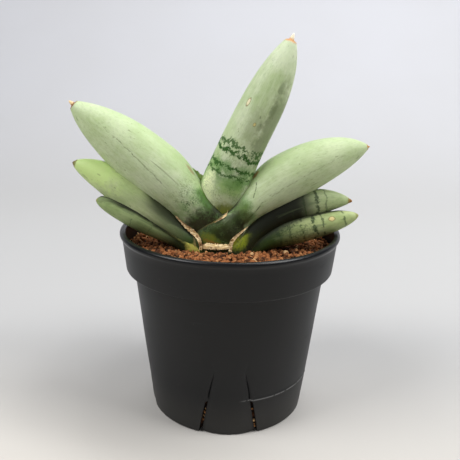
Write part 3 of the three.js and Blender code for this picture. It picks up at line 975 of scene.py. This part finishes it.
# %% [markdown]
# ### The section of the wall
# The wall's whole section, outside and inside, is one line of points from the middle of the floor's
# underside, out round the foot, up to the lip and back down the inside. Spinning it round the axis
# makes the pot, and the same lathe makes the bed of granules later.


# %% Pot section and lathe
def body_radius(height):
    return between(FOOT_RADIUS, LEDGE_RADIUS, height / LEDGE_HEIGHT)


def arc(radius_at, height_at, size, start, end, steps):
    """Points of (radius, height) on a small arc, its angles in degrees."""
    turns = [math.radians(between(start, end, i / steps)) for i in range(steps + 1)]
    return [(radius_at + size * math.cos(a), height_at + size * math.sin(a)) for a in turns]


def wall_heights():
    """The rows of the body's wall: every 3 mm, and where the slits and the flash need one."""
    rows = [3 * MM * i for i in range(1, 13)]
    rows = [row for row in rows if abs(row - SLIT_HEIGHT) > MM]
    flash = [PARTING_HEIGHT + side * FLASH_HALF_WIDTH for side in (-1, 0, 1)]
    upper = [LEDGE_HEIGHT * share for share in (0.6, 0.8, 0.95)]
    return sorted([*rows, SLIT_HEIGHT, *flash]) + upper


def wall_section():
    rows = wall_heights()
    floor = [(LIP_RADIUS * share, 0) for share in FLOOR_RINGS]
    foot = arc(FOOT_RADIUS - FOOT_ROUND, FOOT_ROUND, FOOT_ROUND, -90, 0, 4)
    outside = [(body_radius(row) + (FLASH if row == PARTING_HEIGHT else 0.0), row) for row in rows]
    ledge = arc(LEDGE_RADIUS + LEDGE_ROUND, LEDGE_HEIGHT - LEDGE_ROUND, LEDGE_ROUND, 180, 90, 3)
    collar_foot = LEDGE_HEIGHT + COLLAR_ROUND
    shoulder = arc(COLLAR_LOW - COLLAR_ROUND, collar_foot, COLLAR_ROUND, -90, 0, 5)
    collar = [(between(COLLAR_LOW, COLLAR_HIGH, share), between(collar_foot, LIP_BOTTOM, share))
              for share in (0.2, 0.4, 0.6, 0.8, 0.95)]
    bead = arc(LIP_RADIUS - BEAD, POT_HEIGHT - BEAD, BEAD, -50, 180, 12)
    inner_collar = [(COLLAR_HIGH - WALL, LIP_BOTTOM - 0.6 * MM),
                    (COLLAR_LOW - WALL, LEDGE_HEIGHT + 3 * MM)]
    inner_round = COLLAR_INNER_ROUND
    inner_ledge = arc(COLLAR_LOW - WALL - inner_round, LEDGE_HEIGHT + WALL + inner_round,
                      inner_round, 0, -90, 3)
    inside = [(body_radius(row) - WALL, row) for row in reversed(rows)]
    inner_floor = [(LIP_RADIUS * share, FLOOR_THICKNESS) for share in reversed(FLOOR_RINGS)]
    return [(0, 0), *floor, *foot, *outside, *ledge, *shoulder, *collar, *bead, *inner_collar,
            *inner_ledge, (LEDGE_RADIUS - WALL, LEDGE_HEIGHT + WALL), *inside,
            (body_radius(FLOOR_THICKNESS) - WALL, FLOOR_THICKNESS), *inner_floor,
            (0, FLOOR_THICKNESS)]


def lathe(section, azimuth, steps):
    """Spins a section that is drawn at one azimuth round the pot's axis."""
    shape = bmesh.new()
    right, front = math.sin(azimuth), -math.cos(azimuth)
    drawn = [shape.verts.new((r * right, r * front, height)) for r, height in section]
    edges = [shape.edges.new(pair) for pair in zip(drawn, drawn[1:])]
    bmesh.ops.spin(
        shape, geom=[*drawn, *edges], axis=(0, 0, 1), cent=(0, 0, 0), steps=steps,
        angle=math.tau, use_merge=True,
    )
    bmesh.ops.remove_doubles(shape, verts=shape.verts, dist=WELD)
    bmesh.ops.recalc_face_normals(shape, faces=shape.faces)
    return shape


print("the wall's section has", len(wall_section()), "points")

# %% [markdown]
# ### Panels and slits
# On the real pot steel blades in the mould leave the slits, and the panels between them bulge a
# little. The faces of each slit are taken out of the spun wall, and what is left open is bridged,
# so that the slit has walls. Then every point near a panel is moved by a small law that leans the
# slits of a pair together and sinks the panel's edges beside them.


# %% Pot body
def azimuth_of(point):
    """The angle round the axis, from the front of the pot to its right."""
    return math.atan2(point.x, -point.y)


def panel_offset(azimuth):
    """How far an azimuth is from the middle of the nearest panel, signed."""
    return (azimuth - PANEL_AZIMUTH + QUARTER / 2) % QUARTER - QUARTER / 2


def lean_and_sink(point):
    radius = math.hypot(point.x, point.y)
    if radius < SLIT_REACH or point.z > RELIEF_HEIGHT + SETTLE:
        return point
    azimuth = azimuth_of(point)
    if abs(point.z - PARTING_HEIGHT) < WELD:  # the flash of the mould shows on one side only
        radius -= FLASH * (1 - ease((azimuth - FLASH_FROM) / FLASH_FROM))
    started = panel_offset(azimuth)
    offset = started
    nearness = 1 - max(0.0, abs(offset) - SLIT) / SLIT
    rise = min(1.0, point.z / RELIEF_HEIGHT)
    settled = ease((point.z - RELIEF_HEIGHT) / SETTLE)
    squeeze = between(between(1.0, SLIT_LEAN, rise), 1.0, settled)
    beside = abs(offset) - SLIT
    above = ease((point.z - SLIT_HEIGHT) / CREASE_CLOSES)
    groove = 0.0
    if abs(beside) < 2 * STEP:  # above its slit, a narrow groove is all that is left of it
        groove = CREASE_DEPTH * above if abs(beside) < STEP else 0.0
        offset = math.copysign(SLIT + beside * between(1.0, CREASE_PINCH, above), offset)
    inside_panel = abs(offset) < SLIT
    moved = offset * between(1.0, squeeze, min(max(nearness, 0.0), 1.0))
    sunk = PANEL_SINK * (abs(offset) / SLIT) ** SINK_SHARPNESS if inside_panel else 0.0
    azimuth += moved - started
    radius -= (1 - rise) ** RELIEF_FADE * (sunk + groove)
    return Vector((radius * math.sin(azimuth), -radius * math.cos(azimuth), point.z))


def in_slit(face):
    middle = face.calc_center_median()
    beside = abs(panel_offset(azimuth_of(middle))) - SLIT
    radius = math.hypot(middle.x, middle.y)
    return abs(beside) < STEP / 2 and middle.z < SLIT_HEIGHT and radius > SLIT_REACH


def build_pot():
    shape = lathe(wall_section(), PANEL_AZIMUTH + STEP / 2, TURNS)
    slits = [face for face in shape.faces if in_slit(face)]
    bmesh.ops.delete(shape, geom=slits, context="FACES")
    slit_edges = {}
    for edge in shape.edges:
        if edge.is_boundary:
            azimuth = azimuth_of((edge.verts[0].co + edge.verts[1].co) / 2)
            panel = round((azimuth - PANEL_AZIMUTH) / QUARTER) % PANELS
            slit_edges.setdefault((panel, panel_offset(azimuth) > 0), []).append(edge)
    for edges in slit_edges.values():
        bmesh.ops.bridge_loops(shape, edges=edges)
    bmesh.ops.recalc_face_normals(shape, faces=shape.faces)
    for vert in shape.verts:
        vert.co = lean_and_sink(vert.co)
    print(len(slit_edges), "slits are cut through the foot")
    return shape


# %% [markdown]
# ### The plastic
# Black polypropylene is never quite black: it is faintly cloudy, scuffed upwards from being pulled
# out of a stack, dusty near the foot and polished at the lip by handling. On the right a pale line
# is painted along the flash, as a highlight where it catches the light.


# %% Pot plastic
def pot_plastic():
    r = Recipe("pot_plastic")
    place = r.place()
    cloud = r.noise(place, 25.0, 4.0)
    fine = r.noise(place, 2600.0, 2.0)
    scuff = r.noise(r.stretched(place, (1.0, 1.0, 5.0)), 60.0, 5.0, 0.7).ramp(0.62, 0.72)
    speck = r.noise(place, 900.0, 2.0).ramp(0.76, 0.80)
    colour = r.mix(cloud.ramp(0.3, 0.7), paint(6, 8, 11), paint(11, 13, 16))
    colour = r.mix(scuff * 0.1, colour, paint(80, 82, 86))
    colour = r.mix(speck * 0.5, colour, paint(96, 92, 86))
    height = r.axis(place, "Z")
    on_flash = (height - PARTING_HEIGHT).size().ramp(0.45 * MM, 0.15 * MM)
    # Painted highlight: a pale line along the flash, on the right side only.
    flash_highlight = on_flash * r.axis(place, "X").ramp(5 * MM, 10 * MM)
    broken = r.noise(place, 380.0, 2.0).ramp(0.36, 0.5)
    colour = r.mix(flash_highlight * broken * 0.6, colour, paint(122, 122, 122))
    dusty = height.ramp(24 * MM, 2 * MM) * (0.6 + 0.8 * cloud)
    colour = r.mix(dusty * 0.10, colour, paint(110, 106, 98))
    lip = height.ramp(LIP_BOTTOM, LIP_BOTTOM + 1.0 * MM)
    roughness = 0.40 + cloud * 0.1 + scuff * 0.12 - lip * 0.14
    grained = r.bump(fine + cloud * 0.8, 0.03 * MM, 0.35)
    return r.surface(
        Base_Color=colour, Roughness=roughness, Normal=grained, IOR=1.49, Specular_IOR_Level=0.31,
    )


set_piece(build_pot(), "pot_shell", "pot", pot_plastic(), sharp_above=32.0)

# %% [markdown]
# ## The granules
# The pot is filled with fired clay granules one to two and a half millimetres across, sieved but
# never equal: blunt-cornered crumbs from dark brown to brick and pale ochre. Pouring them with a
# physics solver would take long and settle differently each time. Here a dark bed closes the
# surface, and two layers of crumbs are strewn on it, the lower one partly sunk in the bed.

# %% Granule sizes, from the frame
BED_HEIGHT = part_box("substrate")[1].z - 2.2 * MM
BED_RADIUS = COLLAR_HIGH - WALL - 1.0 * MM
GRANULE = (0.55 * MM, 1.20 * MM)  # smallest and largest half-size
SMALL_ONES = 1.4  # above 1 there are more small granules than large
LAYERS = {"lower_granules": (0.1, 1.3), "upper_granules": (1.0, 2.3)}  # how high each may lie
GRANULE_TRIES = 4050
HILLS = 1.0 * MM
HILLS_PER_METRE = 60
SLIT_GRANULES = 4
HIDDEN_IN_LEAF = 0.6 * MM
chance = random.Random(11)
DEPS = bpy.context.evaluated_depsgraph_get()
LEAF_TREES = [
    BVHTree.FromObject(bpy.data.objects[node + "_skin"], DEPS) for node in LEAF_SHAPES
]
print("the bed is", round(BED_HEIGHT / MM, 1), "mm up and", round(2 * BED_RADIUS / MM, 1), "across")

# %% [markdown]
# ### One crumb
# Each crumb is a small cube, cut once each way, blown towards a ball, knocked about and turned at
# random. It keeps few faces, because there are thousands. Each also keeps one random tone, which
# its clay reads as its colour. A crumb that would be hidden inside a leaf isn't made.

# %% Strewing granules
BALL = 1.18
ROUNDNESS = 0.72
KNOCKS = (0.76, 1.10)
SQUASHES = (0.66, 1.12)


def add_crumb(shape, spot, size, tone):
    crumb = bmesh.new()
    tone_layer = crumb.verts.layers.float.new("tone")
    bmesh.ops.create_cube(crumb, size=2.0)
    bmesh.ops.subdivide_edges(crumb, edges=crumb.edges[:], cuts=1, use_grid_fill=True)
    turn = Euler([chance.uniform(0, math.tau) for _axis in range(3)]).to_matrix()
    squash = [chance.uniform(*SQUASHES) for _axis in range(3)]
    for vert in crumb.verts:
        ball = vert.co.normalized() * BALL
        blunt = vert.co.lerp(ball, ROUNDNESS) * chance.uniform(*KNOCKS)
        vert.co = spot + turn @ Vector([b * s for b, s in zip(blunt, squash)]) * size
        vert[tone_layer] = tone
    mesh = mesh_of(crumb, "crumb")
    shape.from_mesh(mesh)
    bpy.data.meshes.remove(mesh)


def inside_a_leaf(spot):
    for tree in LEAF_TREES:
        near, normal, _index, distance = tree.find_nearest(spot)
        if (spot - near).dot(normal) < 0 and distance > HIDDEN_IN_LEAF:
            return True
    return False


def empty_of_crumbs():
    shape = bmesh.new()
    shape.verts.layers.float.new("tone")
    return shape


def build_granules(lowest, highest):
    shape = empty_of_crumbs()
    for _try in range(GRANULE_TRIES):
        reach = BED_RADIUS * math.sqrt(chance.random())
        turn = chance.uniform(0, math.tau)
        size = between(*GRANULE, chance.random() ** SMALL_ONES)
        reach = min(reach, BED_RADIUS - size * 0.6)
        across = Vector((reach * math.cos(turn), reach * math.sin(turn), 0))
        hill = HILLS * noise.noise(across * HILLS_PER_METRE)
        spot = across + Vector((0, 0, BED_HEIGHT + chance.uniform(lowest, highest) * MM + hill))
        if not inside_a_leaf(spot):
            add_crumb(shape, spot, size, chance.random())
    return shape


def build_slit_granules():
    """The crumbs that lie against the wall behind each slit, and show through it."""
    shape = empty_of_crumbs()
    for panel in range(PANELS):
        for side in (-1, 1):
            for _crumb in range(SLIT_GRANULES):
                height = chance.uniform(2.6 * MM, SLIT_HEIGHT - 2 * MM)
                lean = between(1.0, SLIT_LEAN, height / RELIEF_HEIGHT)
                turn = PANEL_AZIMUTH + panel * QUARTER + side * SLIT * lean
                reach = body_radius(height) - chance.uniform(1.5, 2.1) * MM
                spot = Vector((reach * math.sin(turn), -reach * math.cos(turn), height))
                # Partly painted light: behind the slits only pale tones are used, partly the ochre
                # crumbs there, partly to make up for the little light that reaches them.
                add_crumb(shape, spot, chance.uniform(0.5, 0.8) * MM, chance.uniform(0.85, 1.08))
    return shape


# %% [markdown]
# ### The clay
# A crumb's tone picks its colour, from dark brown through brick to a few of pale ochre. Spots and
# grit break that up. Low down between the others a crumb is in the dark, but the ones behind the
# slits, far below, get the light that comes through.


# %% Granule clay
def granule_clay():
    r = Recipe("granule_clay")
    place = r.place()
    tone = r.stored("tone")
    grit = r.noise(place, 1800.0, 3.0, 0.6)
    spots = r.noise(place, 700.0, 2.0)
    colour = r.mix(tone.ramp(0.0, 0.55), paint(52, 28, 14), paint(146, 90, 51))
    colour = r.mix(tone.ramp(0.72, 0.95), colour, paint(172, 122, 78))
    colour = r.mix(tone.ramp(0.975, 0.99), colour, paint(192, 158, 114))
    colour = r.mix(spots.ramp(0.52, 0.68) * 0.55, colour, paint(70, 38, 20))
    colour = r.mix(grit.ramp(0.55, 0.75) * 0.35, colour, paint(188, 144, 98))
    height = r.axis(place, "Z")
    above_slits = height.ramp(50 * MM, 60 * MM)
    buried = height.ramp(BED_HEIGHT + 2.4 * MM, BED_HEIGHT + 0.4 * MM) * above_slits
    colour = r.mix(buried * 0.8, colour, paint(38, 20, 10))
    return r.surface(
        Base_Color=colour, Roughness=0.86 + grit * 0.1, Normal=r.bump(grit, 0.25 * MM, 0.8),
        IOR=1.45, Specular_IOR_Level=0.3,
    )


GRANULE_CLAY = granule_clay()
for layer, (lowest, highest) in LAYERS.items():
    set_piece(build_granules(lowest, highest), layer, "substrate", GRANULE_CLAY, sharp_above=60.0)
set_piece(build_slit_granules(), "slit_granules", "substrate", GRANULE_CLAY, sharp_above=60.0)


# %% [markdown]
# ### The bed
# The bed is a closed solid that fills the pot from its floor to just under the crumbs, so that no
# light and no gap shows between them. It is spun like the pot, a little clear of its wall. Its clay
# is painted dark, darkest between its lumps, as painted shade of the crumbs deeper down.


# %% The bed under the granules
def build_bed():
    inset = WALL + 0.4 * MM
    floor_top = FLOOR_THICKNESS + 0.3 * MM
    ledge_top = LEDGE_HEIGHT + WALL + 0.4 * MM
    return lathe([
        (0, floor_top),
        (body_radius(floor_top) - inset - 0.6 * MM, floor_top),
        (LEDGE_RADIUS - inset - 0.6 * MM, ledge_top),
        (COLLAR_LOW - inset - 1.0 * MM, ledge_top),
        (COLLAR_LOW - inset, BED_HEIGHT),
        *[(BED_RADIUS * share, BED_HEIGHT) for share in (0.8, 0.6, 0.4, 0.2)],
        (0, BED_HEIGHT),
    ], azimuth=math.pi / 2, steps=96)


def bed_clay():
    r = Recipe("bed_clay")
    place = r.place()
    lumps = r.cells(place, 380.0)
    grit = r.noise(place, 1600.0, 3.0)
    # Painted shade: the lumps darken towards their edges, as gaps in shade.
    colour = r.mix(lumps.ramp(0.2, 0.6), paint(84, 50, 28), paint(24, 12, 6))
    return r.surface(
        Base_Color=colour, Roughness=0.92, Normal=r.bump(grit - lumps * 2, 0.8 * MM, 0.9),
        Specular_IOR_Level=0.2,
    )


set_piece(build_bed(), "granule_bed", "substrate", bed_clay())

# %% [markdown]
# ## The dry sheath
# The oldest leaves of all have gone, and a strip of their clasping base is left across the front of
# the crown, tan and papery. It is a flat grid bent round the crown, waved and torn by noise along
# its two edges, and then given the thickness of card.


# %% Dry sheath
def fibre():
    r = Recipe("dry_fibre")
    place = r.place()
    strands = r.noise(r.stretched(place, (0.15, 0.15, 1.0)), 2600.0, 3.0)
    blotch = r.noise(place, 420.0, 3.0)
    colour = r.mix(strands.ramp(0.35, 0.65), paint(198, 166, 114), paint(232, 210, 166))
    colour = r.mix(blotch.ramp(0.57, 0.68) * 0.8, colour, paint(122, 80, 46))
    return r.surface(
        Base_Color=colour, Roughness=0.8, Normal=r.bump(strands, 0.2 * MM, 0.8),
        Specular_IOR_Level=0.3,
    )


DRY_FIBRE = fibre()
SHEATH_AXIS = Vector((-5.5, -0.5, 0)) * MM
SHEATH_TURN = (234, 298)  # degrees round its axis, anticlockwise from the right
SHEATH_RADIUS = 14.3  # in millimetres, at its lower edge
SHEATH_THICKNESS = 0.3 * MM


def build_dry_sheath():
    low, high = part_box("dry_sheath")
    shape = bmesh.new()
    bmesh.ops.create_grid(shape, x_segments=90, y_segments=16, size=0.5)
    for vert in shape.verts:
        u, v = vert.co.x + 0.5, vert.co.y + 0.5
        turn = math.radians(between(*SHEATH_TURN, u))
        wobble = noise.noise(Vector((u * 9, v * 2, 3.1)))
        wobble += 0.35 * noise.noise(Vector((u * 5, v * 11, 1.1)))
        reach = (SHEATH_RADIUS - 1.1 * v * v + 0.35 * wobble) * MM
        ragged = noise.noise(Vector((u * 26, 0, 8.0))) * (0.7 * v - 0.5 * (1 - v)) * MM
        bottom = low.z + (1.7 + 0.5 * u) * MM
        top = high.z + (0.8 - 0.5 * u) * MM
        height = between(bottom, top, v) + ragged * abs(2 * v - 1)
        vert.co = SHEATH_AXIS + Vector((math.cos(turn) * reach, math.sin(turn) * reach, height))
    bmesh.ops.solidify(shape, geom=shape.faces[:], thickness=SHEATH_THICKNESS)
    bmesh.ops.recalc_face_normals(shape, faces=shape.faces)
    return shape


set_piece(build_dry_sheath(), "dry_sheath_strip", "dry_sheath", DRY_FIBRE, sharp_above=50.0)

# %% [markdown]
# ## The papery hems
# Where the older leaves' bases have split, their edges are left as dry strips against the crown.
# Each one is a thin ribbon along a few marks on the front of the crown, hung just proud of the leaf
# that is behind it, cupped and ragged.

# %% Hanging a hem
HEM_THICKNESS = 0.22 * MM
HEM_STEPS = 70
HEM_EVENING = 6
FRONT = -60.0 * MM  # well in front of the crown


def front_of_crown(x, z):
    start = Vector((x, FRONT, z))
    hits = [tree.ray_cast(start, Vector((0, 1, 0)))[0] for tree in LEAF_TREES]
    return min((hit.y for hit in hits if hit is not None), default=0.0)


def along_marks(marks, share):
    """The place and half-width at a share of the way along marks of (right, up, half-width)."""
    place = share * (len(marks) - 1)
    index = min(int(place), len(marks) - 2)
    return Vector(marks[index]).lerp(Vector(marks[index + 1]), place - index) * MM


def hang_depths(middles):
    """How far forward a strip hangs, evened out so that it never cuts into the leaf."""
    depths = [front_of_crown(middle.x, middle.y) for middle in middles]
    for _pass in range(HEM_EVENING):
        around = [depths[max(i - 1, 0):i + 2] for i in range(len(depths))]
        depths = [min(depth, sum(near) / len(near)) for depth, near in zip(depths, around)]
    return depths


def hang_hem(marks, proud, cup, ragged, twist=0.0, behind=None):
    """A strip along the marks. proud is how far it stands off and cup how far its edges turn back,
    in millimetres; ragged is any number, and makes its tears its own. With behind, the strip
    stands at that depth and not against the crown."""
    middles = [along_marks(marks, i / HEM_STEPS) for i in range(HEM_STEPS + 1)]
    depth = hang_depths(middles) if behind is None else [behind * MM] * len(middles)
    shape = bmesh.new()
    bmesh.ops.create_grid(shape, x_segments=HEM_STEPS, y_segments=8, size=0.5)
    for vert in shape.verts:
        u, v = vert.co.x + 0.5, vert.co.y * 2
        index = round(u * HEM_STEPS)
        middle = middles[index]
        onward = middles[min(index + 1, HEM_STEPS)] - middles[max(index - 1, 0)]
        across = Vector((-onward.y, 0, onward.x)).normalized()
        edge_noise = noise.noise(Vector((u * 24, v * 3, ragged)))
        width = middle.z * (1 + 0.45 * edge_noise * abs(v))
        roll = twist * math.sin(u * 9.0)
        side = across * math.cos(roll) + Vector((0, -1, 0)) * math.sin(roll)
        wave = 0.35 * MM * noise.noise(Vector((u * 14, v * 1.5, ragged + 4)))
        y = depth[index] - proud * MM - cup * MM * v * v + wave
        vert.co = Vector((middle.x, y, middle.y)) + side * v * width
    bmesh.ops.solidify(shape, geom=shape.faces[:], thickness=HEM_THICKNESS)
    bmesh.ops.recalc_face_normals(shape, faces=shape.faces)
    return shape


# %% [markdown]
# ### The three hems
# The left middle leaf's hem is the widest: a pale strip that hangs from where the leaf leaves the
# crown down to the granules. The right middle leaf's is a narrow one. The right upper leaf's has
# torn where it crosses the youngest leaf, and the torn end has curled. The marks of each are
# (right, up, half-width), in millimetres.

# %% Hems
left_hem = [(-25.2, 97.6, 0.2), (-22.8, 94.8, 0.45), (-20.2, 92.6, 0.8), (-17.6, 90.6, 1.0),
            (-15.4, 88.8, 1.0), (-14.0, 87.0, 0.8), (-13.5, 84.8, 0.7), (-13.5, 82.4, 0.6)]
set_piece(hang_hem(left_hem, 0.7, 0.35, 1.0), "left_hem", "leaf_left_middle", DRY_FIBRE)
right_hem = [(0.4, 82.0, 0.7), (0.3, 84.6, 0.8), (1.0, 87.0, 0.8), (3.0, 89.4, 0.6),
             (5.6, 91.4, 0.4), (8.2, 93.4, 0.15)]
set_piece(hang_hem(right_hem, 0.5, 0.25, 7.0), "right_hem", "leaf_right_middle", DRY_FIBRE)
torn_hem = [(-7.2, 95.4, 0.1), (-5.8, 96.2, 0.35), (-4.8, 96.7, 0.2), (-3.4, 97.6, 0.5),
            (-2.2, 98.5, 0.6), (-1.4, 99.4, 0.35), (-1.2, 100.6, 0.08)]
set_piece(hang_hem(torn_hem, 0.9, 0.3, 13.0, 0.9), "torn_hem", "leaf_right_upper", DRY_FIBRE)

# %% [markdown]
# ### The far edge of a channel
# The far edge of the left upper leaf's channel stands up a little behind the youngest leaf, thin
# and green, with a few dry flecks. It is hung like a hem, but behind.


# %% Far edge of the channel
def thin_edge():
    r = Recipe("thin_edge")
    place = r.place()
    cloud = r.noise(place, 260.0, 2.0)
    flecks = r.noise(place, 1400.0, 2.0)
    colour = r.mix(cloud.ramp(0.4, 0.6), paint(150, 178, 104), paint(112, 144, 70))
    colour = r.mix(flecks.ramp(0.5, 0.62) * 0.5, colour, paint(150, 124, 72))
    return r.surface(Base_Color=colour, Roughness=0.6, Normal=r.bump(flecks, 0.1 * MM, 0.5))


far_edge = [(-8.0, 103.0, 1.5), (-11.0, 107.0, 2.4), (-13.6, 110.4, 2.6), (-16.2, 113.6, 2.1),
            (-18.6, 116.2, 1.3), (-20.6, 118.0, 0.2)]
set_piece(
    hang_hem(far_edge, 0.0, -0.6, 21.0, behind=4.0), "channel_edge", "leaf_left_upper", thin_edge()
)

# %% [markdown]
# ## The rootstock
# It is under the granules, where nobody looks. So its construction solid stays as it is, and only
# takes a bark, for whoever lifts the plant out.


# %% Rootstock bark
def root_bark():
    r = Recipe("root_bark")
    place = r.place()
    strands = r.noise(r.stretched(place, (1.0, 1.0, 0.2)), 900.0, 3.0)
    colour = r.mix(strands.ramp(0.35, 0.65), paint(138, 98, 56), paint(196, 158, 104))
    return r.surface(Base_Color=colour, Roughness=0.85, Normal=r.bump(strands, 0.3 * MM))


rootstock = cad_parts["rootstock"]
rootstock.data.materials.clear()
rootstock.data.materials.append(root_bark())
print("the rootstock keeps its", len(rootstock.data.polygons), "construction faces")

# %% [markdown]
# ## The studio
# The pot stands on a sweep of pale paper, which runs flat under it, bends up behind it and hides
# the corner of the room. Its colour is painted with the light that falls on it: warm at the front,
# a little darker on the right, a band of painted shade behind the pot, and cool and lighter at the
# back.

# %% Backdrop
SWEEP_HALF_WIDTH = 1.6
SWEEP_FRONT = -0.9
SWEEP_BEND = 0.45  # how far behind the pot the paper starts to rise
SWEEP_RADIUS = 0.5
SWEEP_LENGTH = 3.2


def sweep_paper():
    r = Recipe("sweep_paper")
    place = r.place()
    right, back = r.axis(place, "X"), r.axis(place, "Y")
    tint = r.noise(place, 6.0, 2.0)
    # Painted shade and light: darker on the right and behind the pot, lighter at the front and far
    # back.
    front = r.mix(right.ramp(0.0, 0.12), paint(198, 193, 185), paint(188, 184, 177))
    colour = r.mix(back.ramp(-0.12, 0.08), front, paint(176, 176, 176))
    colour = r.mix(back.ramp(0.35, 0.95), colour, paint(188, 189, 194))
    colour = r.mix(tint.ramp(0.3, 0.7) * 0.15, colour, paint(176, 175, 174))
    return r.surface(Base_Color=colour, Roughness=0.9, Specular_IOR_Level=0.1)


def on_sweep(run):
    """How far back and how high the paper is, at a length along it from its front edge."""
    flat = SWEEP_BEND - SWEEP_FRONT
    bent = SWEEP_RADIUS * math.pi / 2
    if run < flat:
        return SWEEP_FRONT + run, 0
    if run < flat + bent:
        turn = (run - flat) / SWEEP_RADIUS
        return SWEEP_BEND + SWEEP_RADIUS * math.sin(turn), SWEEP_RADIUS * (1 - math.cos(turn))
    return SWEEP_BEND + SWEEP_RADIUS, SWEEP_RADIUS + run - flat - bent


def build_sweep():
    shape = bmesh.new()
    bmesh.ops.create_grid(shape, x_segments=8, y_segments=60, size=0.5)
    for vert in shape.verts:
        across = vert.co.x * 2 * SWEEP_HALF_WIDTH
        vert.co = (across, *on_sweep((vert.co.y + 0.5) * SWEEP_LENGTH))
    return smooth_object(shape, "sweep", sweep_paper())


sweep = build_sweep()
sweep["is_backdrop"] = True
print("the paper is", round(2 * SWEEP_HALF_WIDTH, 1), "m wide and", SWEEP_LENGTH, "m long")

# %% [markdown]
# ### The lamps
# Two large soft lamps hang high at the left and the right, somewhat in front, and light both sides
# of the fan almost alike. A weak one above and behind gives the leaves an edge, a low faint one in
# front lifts the pot, and one more only washes the paper behind. The dim glow of the room fills
# the shadows a little.

# %% Lamps
LAMPS = {  # where it hangs, what it points at, its width and its power in watts
    "lamp_left": ((-0.88, -0.38, 1.10), (0, 0.04, 0.04), 0.7, 15.2),
    "lamp_right": ((0.88, -0.30, 1.12), (0, 0.04, 0.04), 0.7, 14.1),
    "lamp_top": ((0, 0.45, 1.15), (0, 0.0, 0.08), 0.6, 2.5),
    "lamp_sweep": ((0.45, 0.1, 1.2), (0.58, 0.95, 0.40), 0.6, 11.0),
    "lamp_low": ((0, -0.95, 0.24), (0, 0, 0.10), 0.9, 1.0),
}
ROOM_COLOUR = (0.95, 0.97, 1.0, 1)
ROOM_STRENGTH = 0.06

for name, (spot, target, width, power) in LAMPS.items():
    lamp_data = bpy.data.lights.new(name, "AREA")
    lamp_data.size = width
    lamp_data.energy = power
    lamp = put_in_scene(name, lamp_data)
    lamp.location = spot
    lamp.rotation_euler = (Vector(target) - lamp.location).to_track_quat("-Z", "Y").to_euler()

room = bpy.data.worlds.new("room")
room.use_nodes = True
glow = room.node_tree.nodes["Background"].inputs
glow["Color"].default_value = ROOM_COLOUR
glow["Strength"].default_value = ROOM_STRENGTH
bpy.context.scene.world = room
print(len(LAMPS), "lamps, of", sum(row[3] for row in LAMPS.values()), "watts together")

# %% [markdown]
# ## Sizes
# The finished object may differ from its construction solids by a hair, where a leaf swells or a
# granule lies high. How far it reaches past them on each side is printed.

# %% Sizes
low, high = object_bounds()
outgrown = zip((*cad_low, *high), (*low, *cad_high))
print("grew by, mm:", [round((outer - inner) / MM, 2) for outer, inner in outgrown])
